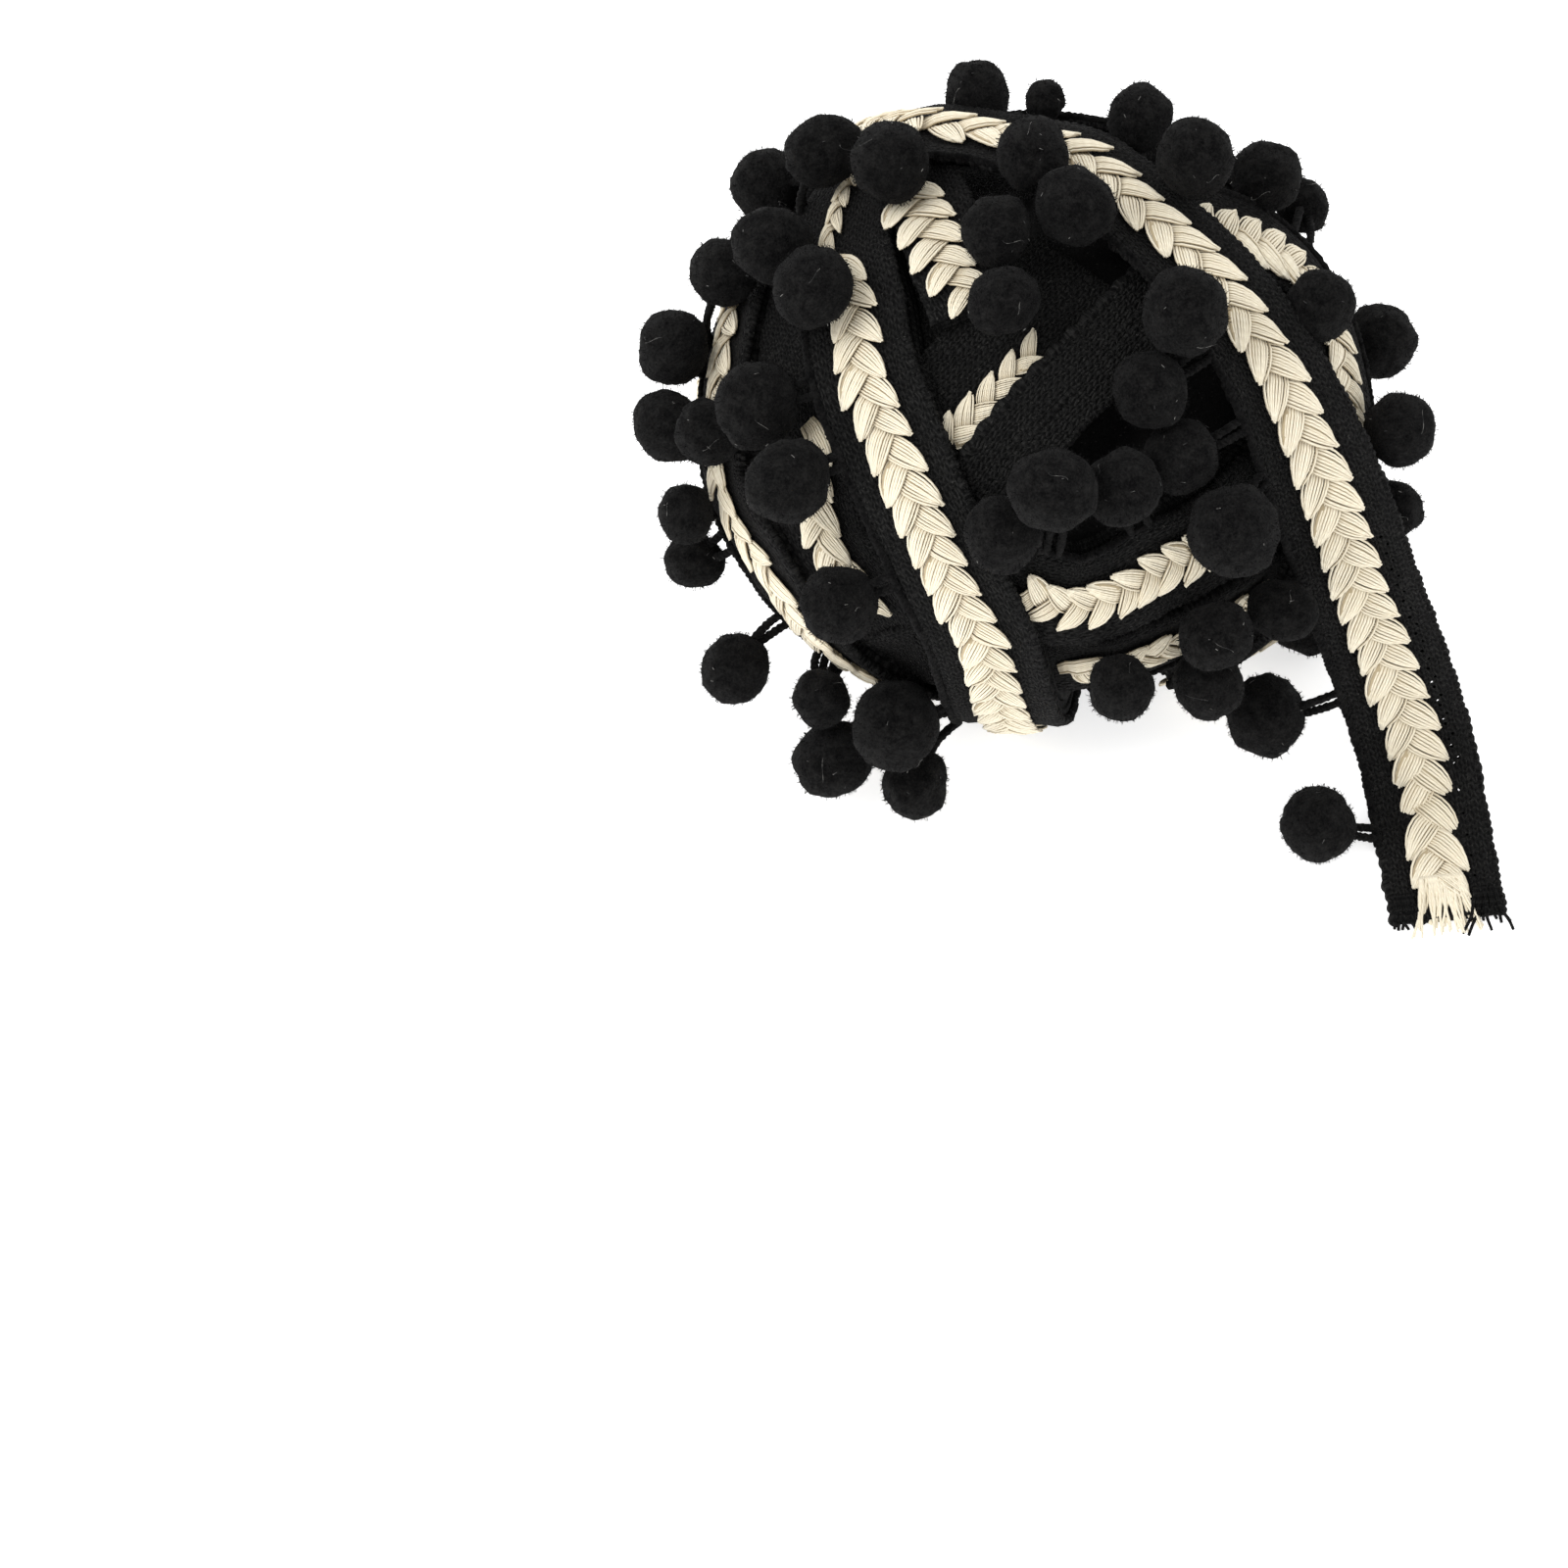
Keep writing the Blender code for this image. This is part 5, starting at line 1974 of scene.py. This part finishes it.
@dataclass(frozen=True)
class FibreForm:
    """The sizes of the fibres that stand out of the felt."""

    kinds: int = 6
    per_mm2: float = 0.85
    quick_share: float = 0.25
    radius: float = 0.085
    length: float = 0.85
    seed: int = 40
    lengths: Pair = (0.6, 1.4)
    leans: Pair = (0.3, 1.3)
    curls: Pair = (-0.6, 0.6)
    root: float = -0.2
    taper: float = 0.8
    knee: Triple = (0.35, 0.2, 0.55)
    tip: Pair = (0.8, 0.3)
    slant: float = 0.45
    sizes: Pair = (0.6, 1.15)


@dataclass(frozen=True)
class LoopForm:
    """The sizes of the looped yarns that a pompom hangs on."""

    spread: float = 2.5
    ply_radius: float = 0.68
    ply_offset: float = 0.3
    ply_pitch: float = 2.4
    steps: int = 22
    sides: int = 5
    depth: float = 0.6
    bulge: float = 0.3
    inset: float = 0.4
    sunk: float = 0.6
    rise: float = 0.8
    wild: float = 0.25
    splay: float = 0.8
    phase: float = 1.7
    edge_step: float = 0.8
    edge_out: float = 0.25
    edge_sway: float = 0.15
    edge_wave: float = 11.0
    edge_sunk: float = 0.35


@dataclass
class FringeWork:
    """Makes every stretch of fringe: felted pompoms with their fibres, their loops and the edge yarn."""

    winding: Winding
    places: PomPomPlaces
    finishes: Finishes
    felt: FeltForm = FeltForm()
    form: FibreForm = FibreForm()
    loop: LoopForm = LoopForm()

    def __post_init__(self) -> None:
        """Makes the fibres and the tree that sets them on the pompoms."""
        work = bmesh.new()
        bmesh.ops.create_icosphere(work, subdivisions=self.felt.subdivisions, radius=1.0)
        self.ball_rows = np.array([tuple(corner.co) for corner in work.verts])
        self.ball_faces = [tuple(corner.index for corner in face.verts) for face in work.faces]
        work.free()
        self.fibres = shelf("fibre", [self.fibre(number) for number in range(self.form.kinds)])
        self.nodes = self.tree()

    def fibre(self, number: int) -> Cloth:
        """Makes one bent fibre that stands along +Z: a three-sided spike with a knee.

        Args:
            number: Which of the kinds.

        Returns:
            The mesh.
        """
        form = self.form
        rng = np.random.default_rng(form.seed + number)
        length = form.length * rng.uniform(*form.lengths)
        lean, curl = rng.uniform(*form.leans), rng.uniform(*form.curls)
        angles = np.arange(3) * (2 * math.pi / 3)
        ring = np.column_stack([np.cos(angles), np.sin(angles), np.zeros(3)]) * form.radius
        knee = np.array(form.knee) * (lean, curl, 1.0) * length
        high, drop = form.tip
        tip = np.array([lean, curl, high - drop * lean]) * length
        places = np.concatenate([ring + (0.0, 0.0, form.root), ring * form.taper + knee, [tip]])
        faces = [(2, 1, 0), (0, 1, 4, 3), (1, 2, 5, 4), (2, 0, 3, 5), (3, 4, 6), (4, 5, 6), (5, 3, 6)]
        return Cloth(places, faces)

    def tree(self) -> Nodes:
        """Makes the tree that scatters fibres over the felt and joins them to it.

        Returns:
            The tree.
        """
        nodes = Nodes("felt_fibres", Fibres="Collection", Density="Float", Seed="Int")
        values = {name: nodes.given(name) for name in ("Density", "Seed")}
        values["Mesh"] = nodes.given("Geometry")
        spots = nodes.node("GeometryNodeDistributePointsOnFaces", {"distribute_method": "RANDOM"}, values)
        most, (small, large) = self.form.slant, self.form.sizes
        values = {0: (-most, -most, 0.0), 1: (most, most, 2 * math.pi), "Seed": 3}
        slant = nodes.node("FunctionNodeRandomValue", {"data_type": "FLOAT_VECTOR"}, values)
        euler = nodes.node("FunctionNodeEulerToRotation", {}, {0: slant.outputs[0]})
        values = {0: spots.outputs["Rotation"], 1: euler.outputs[0]}
        turned = nodes.node("FunctionNodeRotateRotation", {"rotation_space": "LOCAL"}, values)
        size = nodes.node("FunctionNodeRandomValue", {"data_type": "FLOAT"}, {2: small, 3: large, "Seed": 9})
        values = {4: 0, 5: self.form.kinds - 1, "Seed": 5}
        pick = nodes.node("FunctionNodeRandomValue", {"data_type": "INT"}, values)
        placed = nodes.scatter(
            spots.outputs["Points"], "Fibres", pick.outputs[2], turned.outputs[0], size.outputs[1])
        both = nodes.node("GeometryNodeJoinGeometry", {}, {0: placed})
        nodes.tree.links.new(nodes.given("Geometry"), both.inputs[0])
        nodes.finish(both.outputs[0])
        return nodes

    def pompom(self, head: Head) -> Cloth:
        """Makes one felted ball.

        Args:
            head: Where it is.

        Returns:
            The mesh.
        """
        felt, number = self.felt, head.number
        turn = Matrix.Rotation(felt.turn * number, 3, "Z")
        change, phase = felt.squash_change
        squash = felt.squash * (1 + change * math.sin(phase * number))
        change, phase, start = felt.height_change
        tall = 1 + change * math.sin(phase * number + start)
        rows = self.ball_rows * (1.0 / tall, squash, tall)
        rows = rows @ np.array(turn).T
        grown = []
        for row in self.ball_rows:
            where = Vector(row) + Vector([number * step for step in felt.lump_step])
            big = noise.noise(where * felt.lump_scale)
            finest = felt.finest_share * noise.noise(where * felt.finest_scale)
            grown.append(1 + felt.lump * big + felt.fine * (noise.noise(where * felt.fine_scale) + finest))
        return Cloth(rows * np.array(grown)[:, None] * head.radius + head.place, self.ball_faces)

    def yarn(self, path: Rows, phase: float) -> list[Cloth]:
        """Twists two plies along a path.

        Args:
            path: The path.
            phase: Where the twist starts.

        Returns:
            The two plies.
        """
        runs = lengths_along(path)
        ahead = unit(np.gradient(path, axis=0))
        side = unit(np.cross(ahead, PLY_ASIDE))
        other = np.cross(ahead, side)
        plies = []
        for half in (0.0, math.pi):
            angle = runs * (2 * math.pi / self.loop.ply_pitch) + phase + half
            off = np.cos(angle)[:, None] * side + np.sin(angle)[:, None] * other
            plies.append(tube(path + off * self.loop.ply_offset, self.loop.ply_radius, self.loop.sides))
        return plies

    def loops(self, route: Route, edge: int, head: Head) -> list[Cloth]:
        """Makes the looped yarns of one pompom: two strands that leave the edge and meet in its felt.

        Args:
            route: The turn's route.
            edge: Which edge.
            head: The pompom.

        Returns:
            The yarns.
        """
        loop = self.loop
        rng = np.random.default_rng(head.number)
        beside = edge * (route.width / 2 - loop.inset)
        lift = route.top - loop.sunk
        outward_at = self.places.middle_of(route, edge) + edge
        made = []
        for side in (-0.5, 0.5):
            at = head.root + side * loop.spread
            start = route.place(at, beside, lift)
            outward = unit(route.place(at, outward_at, lift + loop.rise) - start)
            goal = head.place + unit(start + outward - head.place) * head.radius * loop.depth
            reach = float(np.linalg.norm(goal - start))
            bend = (start + goal) / 2 + outward * loop.bulge * reach
            bend = bend + rng.normal(size=3) * loop.wild + route.axes(at)[0] * side * loop.splay
            made += self.yarn(bowed(start, bend, goal, loop.steps)[0], loop.phase * head.number + side)
        return made

    def edge_yarn(self, route: Route, edge: int, heads: Sequence[Head]) -> list[Cloth]:
        """Makes the yarn that the loops are drawn from, along the tape's edge.

        Args:
            route: The turn's route.
            edge: Which edge.
            heads: The pompoms on it.

        Returns:
            The yarn's plies.
        """
        loop = self.loop
        roots = [head.root for head in heads]
        at = stations(min(roots) - TRIM.selvedge_end, max(roots) + TRIM.selvedge_end, loop.edge_step)
        beside = edge * (route.width / 2 + loop.edge_out + loop.edge_sway * ripple(at, edge, loop.edge_wave))
        return self.yarn(route.place(at, beside, np.full(len(at), route.top - loop.edge_sunk)), 0.0)

    def dress(self, kind: Fringe | RearFringe) -> Piece:
        """Makes one finished stretch of fringe.

        Args:
            kind: The stretch.

        Returns:
            The piece.
        """
        route = self.winding.routes[kind.turn]
        heads = self.places.heads[kind.name]
        felt = Cloth.plain([self.pompom(head) for head in heads], TRIM.floor_gap)
        name = f"{kind.name}_pompoms"
        piece = link(name, felt.to_mesh(name))
        density = self.form.per_mm2 * MM2_PER_M2 * 1.0
        values = {"Fibres": self.fibres, "Density": density, "Seed": heads[0].number}
        self.nodes.apply(piece, {**values, "Material": self.finishes.felt})
        yarns = [yarn for head in heads for yarn in self.loops(route, kind.edge, head)]
        cords = Cloth.plain(yarns + self.edge_yarn(route, kind.edge, heads))
        dressed(f"{kind.name}_loops", cords, Finish.FELT, self.finishes.felt, kind.name)
        return settle(piece, Finish.FELT, None, kind.name)


# ---------------- the loose end


@dataclass(frozen=True)
class Tuft:
    """Cut yarns: their number and radius, how they start and bend, and their shares of a fray's length."""

    count: int
    radius: float
    back: float
    lift: float
    knee: float
    gather: float
    lengths: Pair


@dataclass
class LooseEnd:
    """The loose length: its tape, its plait and the cut yarns at its end."""

    winding: Winding
    plaiting: Plaiting
    finishes: Finishes
    brush: Tuft = Tuft(38, radius=0.33, back=9.0, lift=0.9, knee=2.2, gather=0.95, lengths=(0.05, 0.6))
    tuft: Tuft = Tuft(9, radius=0.42, back=5.5, lift=0.9, knee=1.9, gather=1.0, lengths=(0.15, 0.65))
    left: EdgeCord = EdgeCord(pitch=1.65)
    right: EdgeCord = EdgeCord(radius=0.85, pitch=2.7, steps=6, sway=0.35, beading=0.55, inset=0.75)
    bare_end: float = 8.5
    spacing: Pair = (0.1, 0.9)
    inset: float = 0.8
    knee_share: float = 0.55
    knee_splay: float = 0.4
    tip_splay: float = 1.5
    tip_gap: float = 2.0
    wild: Numbers = (0.35, 0.8, 0.5, 0.3)
    steps: int = 14
    sides: int = 5
    wave: Triple = (0.18, 9.0, 5.0)
    thinning: float = 0.25
    # how much painted shade the cotton gives each cut yarn, as a depth picked at random between these
    shade_depths: Pair = (0.55, 1.0)

    def __post_init__(self) -> None:
        """Finds its route."""
        self.route = self.winding.routes["loose"]

    def tape(self) -> Piece:
        """Makes the tape of the loose length.

        Returns:
            The piece.
        """
        ribbon = Ribbon(
            self.route, top=-0.1, thickness=1.5, seed=2.2, shift=0.35, width=22.2, step=1.0, across=20,
            wave=0.28, roll=0.45)
        parts = [ribbon.cloth(), ribbon.edge_cord(1, self.left), ribbon.edge_cord(-1, self.right)]
        whole = Cloth.plain(parts, TRIM.floor_gap)
        return dressed("loose_tape_cloth", whole, Finish.TAPE, self.finishes.pierced, "loose_tape")

    def plait(self) -> Piece:
        """Lays the plait of the loose length.

        Returns:
            The piece.
        """
        end = self.route.length - self.bare_end
        span = PlaitSpan(self.route, TRIM.plait_bare, end, width=11.7, beside=-0.2, pitch=7.4)
        return self.plaiting.dress("loose_plait_yarns", span, "loose_plait")

    def fray(self, kind: Fray) -> Piece:
        """Makes one tuft of cut yarns that lie on the floor.

        Args:
            kind: The tuft.

        Returns:
            The piece.
        """
        rng = np.random.default_rng(kind.count)
        end = self.route.place(self.route.length, kind.beside, 0.0)
        before = self.route.place(self.route.length - AHEAD, kind.beside, 0.0)
        ahead = unit((end - before) * (1.0, 1.0, 0.0))
        left = np.cross(FLOOR_UP, ahead)
        cream = kind.name == "plait_fray"
        form = self.brush if cream else self.tuft
        yarns = []
        out_wild, tip_wild, high_wild, low_wild = self.wild
        size, often, phase = self.wave
        for number in range(form.count):
            share = (number + rng.uniform(*self.spacing)) / form.count - 0.5
            length = kind.length * rng.uniform(*form.lengths)
            start = end + left * share * (kind.width - self.inset) * form.gather - ahead * form.back
            start = start + FLOOR_UP * form.lift
            wild = rng.normal(size=3)
            out = form.back + length
            knee_out = share * kind.splay * self.knee_splay + out_wild * wild[0]
            tip_out = share * (kind.splay * self.tip_splay + self.tip_gap) + tip_wild * wild[1]
            knee = start + ahead * out * self.knee_share + left * knee_out
            tip = start + ahead * out + left * tip_out
            knee = knee * (1, 1, 0) + FLOOR_UP * (form.knee + high_wild * abs(wild[2]))
            tip = tip * (1, 1, 0) + FLOOR_UP * (form.radius + TRIM.floor_gap + low_wild * abs(wild[0]))
            path, t = bowed(start, knee, tip, self.steps)
            path = path + left * size * np.sin(t * often + phase * wild[1])
            path[:, 2] = np.maximum(path[:, 2], form.radius + TRIM.floor_gap)
            radii = form.radius * (1 - self.thinning * t[:, 0])
            yarns.append(tube(path, radii, self.sides, depth=rng.uniform(*self.shade_depths)))
        slot = Finish.COTTON if cream else Finish.TAPE
        material = self.finishes.cotton if cream else self.finishes.tape
        return dressed(f"{kind.name}_yarns", Cloth.joined(yarns), slot, material, kind.name)


# ---------------- lint


class Mote(NamedTuple):
    """A bit of lint: its shortest and longest length, how many places it has, and its radius."""

    lengths: Pair
    steps: int
    radius: float


@dataclass(frozen=True)
class Lint:
    """Pale specks and hairs caught in the felt."""

    places: PomPomPlaces
    specks: int = 4
    hairs: int = 1
    speck: Mote = Mote((0.25, 0.8), 3, 0.07)
    hair: Mote = Mote((2.0, 5.0), 9, 0.035)
    outward: float = 0.8
    bends: Pair = (2, 5)
    bow: float = 0.25
    lift: float = 0.35
    floor_gap: float = 0.2
    seed: int = 11

    def build(self) -> Cloth:
        """Makes them all.

        Returns:
            The mesh.
        """
        rng = np.random.default_rng(self.seed)
        bits = []
        for heads in self.places.heads.values():
            for head in heads:
                for number in range(self.specks + self.hairs):
                    mote = self.hair if number >= self.specks else self.speck
                    away = unit(rng.normal(size=3) + BALL.out * self.outward)
                    side = unit(np.cross(away, rng.normal(size=3)))
                    length = rng.uniform(*mote.lengths)
                    t = np.linspace(-0.5, 0.5, mote.steps)[:, None]
                    bow = np.cross(away, side) * (np.sin(t * rng.uniform(*self.bends)) * length * self.bow)
                    path = side * t * length + bow
                    path = head.place + unit(path + away * head.radius) * (head.radius + self.lift)
                    path[:, 2] = np.maximum(path[:, 2], self.floor_gap)
                    bits.append(tube(path, mote.radius, 3))
        return Cloth.plain(bits)

    def dress(self, finishes: Finishes) -> Piece:
        """Makes the finished piece."""
        return dressed("felt_lint", self.build(), Finish.FELT, finishes.lint, "loose_fringe")


# ---------------- the studio


@dataclass(frozen=True)
class Studio:
    """A pale floor, soft light from the upper left and a distant camera."""

    finishes: Finishes
    distance: float = 2.5
    lens: float = 296.0
    sensor: float = 36.0
    clip: Pair = (0.1, 20.0)
    aim: Pair = (-47.5, -70.3)
    floor: float = 6.0
    sky: float = 1.05
    key_power: float = 24.0
    key_size: float = 1.2
    key_place: Triple = (-1.1, -0.5, 1.9)

    def set_floor(self) -> None:
        """Lays the floor."""
        reach = self.floor
        corners = [(-reach, -reach, 0.0), (reach, -reach, 0.0), (reach, reach, 0.0), (-reach, reach, 0.0)]
        mesh = bpy.data.meshes.new("floor")
        mesh.from_pydata(corners, [], [(0, 1, 2, 3)])
        mesh.materials.append(self.finishes.floor)
        link("floor", mesh)

    def set_lights(self) -> None:
        """Makes the white surroundings and the soft main light."""
        world = bpy.data.worlds.new("studio")
        bpy.context.scene.world = world
        world.use_nodes = True
        background = world.node_tree.nodes["Background"]
        background.inputs["Color"].default_value = (1.0, 1.0, 1.0, 1.0)
        background.inputs["Strength"].default_value = self.sky
        lamp = bpy.data.lights.new("key", "AREA")
        lamp.energy, lamp.size = self.key_power, self.key_size
        key = bpy.data.objects.new("key", lamp)
        key.location = self.key_place
        key.rotation_euler = (-Vector(self.key_place)).to_track_quat("-Z", "Y").to_euler()
        bpy.context.scene.collection.objects.link(key)

    def set_camera(self) -> None:
        """Makes the camera, which looks straight at the leaning front."""
        made = bpy.data.cameras.new("camera")
        made.lens, made.sensor_width = self.lens, self.sensor
        made.clip_start, made.clip_end = self.clip
        camera = bpy.data.objects.new("camera", made)
        eye = BALL.world([*self.aim, 0.0]) * MM + BALL.out * self.distance
        matrix = Matrix(BALL.axes.T).to_4x4()
        matrix.translation = Vector(eye)
        camera.matrix_world = matrix
        bpy.context.scene.collection.objects.link(camera)
        bpy.context.scene.camera = camera

    def build(self) -> None:
        """Sets everything up."""
        self.set_floor()
        self.set_lights()
        self.set_camera()
        bpy.context.scene.view_settings.view_transform = "Standard"


# how far a plait runs in under what covers its start and its end, and how far before the end of
# its open stretch the curled one starts
PLAIT_BEFORE = 6.0
PLAIT_AFTER = 1.0
CURLED_REACH = 29.0

# the seed of the first turn's tape, and how much larger that of each next one is
FIRST_SEED = 0.7
SEED_STEP = 1.37

# what sets some plaits apart from the rest, by the name of the turn or of the plait
PLAIT_FITS: dict[str, dict[str, Any]] = {
    "curled_turn": {"width": 14.5, "beside": -4.0, "drift": 5.0, "taper": 0.7},
    "lower_turn": {"pitch": 5.0, "back": True},
    "bottom_turn": {"pitch": 5.3},
    "right_turn_plait_1": {"width": 14.5, "beside": -2.5, "pitch": 5.4},
    "left_turn_plait_2": {"start": 132.0},
}
TURNED_NODE = "left_turn_plait_2"
TURNED_PLAIT = {"start": 108.0, "end": 133.0, "width": 4.2, "beside": 0.6, "drift": -4.2}
FOLDED_PLAIT = {"start": 9.0, "end": 34.0, "width": 8.6, "beside": -5.1, "taper": 0.7, "pitch": 6.2}


def lay_plaits(winding: Winding, plaiting: Plaiting) -> None:
    """Lays the plait of every turn wherever nothing covers it.

    Args:
        winding: The routes.
        plaiting: What lays plaits.
    """
    for turn in TURNS:
        if turn.plait == 0:
            continue
        route = winding.routes[turn.name]
        spans = winding.open_stretches(route, turn.plait / 2 + TRIM.plait_side)
        for number, (start, end) in enumerate(spans, 1):
            node = f"{turn.name}_plait_{number}"
            span = PlaitSpan(route, start - PLAIT_BEFORE, end + PLAIT_AFTER, turn.plait)
            if turn.name == "curled_turn":
                span = replace(span, start=end - CURLED_REACH, end=end - PLAIT_AFTER)
            span = replace(span, **PLAIT_FITS.get(turn.name, {}), **PLAIT_FITS.get(node, {}))
            if node == TURNED_NODE:
                plaiting.dress(f"{node}_turned_yarns", replace(span, **TURNED_PLAIT), node)
            plaiting.dress(f"{node}_yarns", span, node)
    folded = PlaitSpan(winding.routes["inner_turn"], **FOLDED_PLAIT)
    plaiting.dress("inner_turn_plait_yarns", folded, "wound_ball")


def main() -> None:
    """Builds every sub-assembly in turn."""
    logging.basicConfig(level=logging.INFO, format="%(message)s")
    finishes = Finishes()
    winding = Winding()
    WoundCore(winding).dress(finishes)
    for number, turn in enumerate(TURNS):
        seed = FIRST_SEED + SEED_STEP * number
        TapeTurn(turn, winding.routes[turn.name], seed).dress(finishes)
    plaiting = Plaiting(finishes)
    lay_plaits(winding, plaiting)
    places = PomPomPlaces(winding)
    work = FringeWork(winding, places, finishes)
    for kind in (*FRINGES, *REAR_FRINGES):
        work.dress(kind)
    loose = LooseEnd(winding, plaiting, finishes)
    cloth = loose.tape()
    loose.plait()
    for fray in FRAYS:
        loose.fray(fray)
    Lint(places).dress(finishes)
    Studio(finishes).build()


if __name__ == "__main__":
    main()
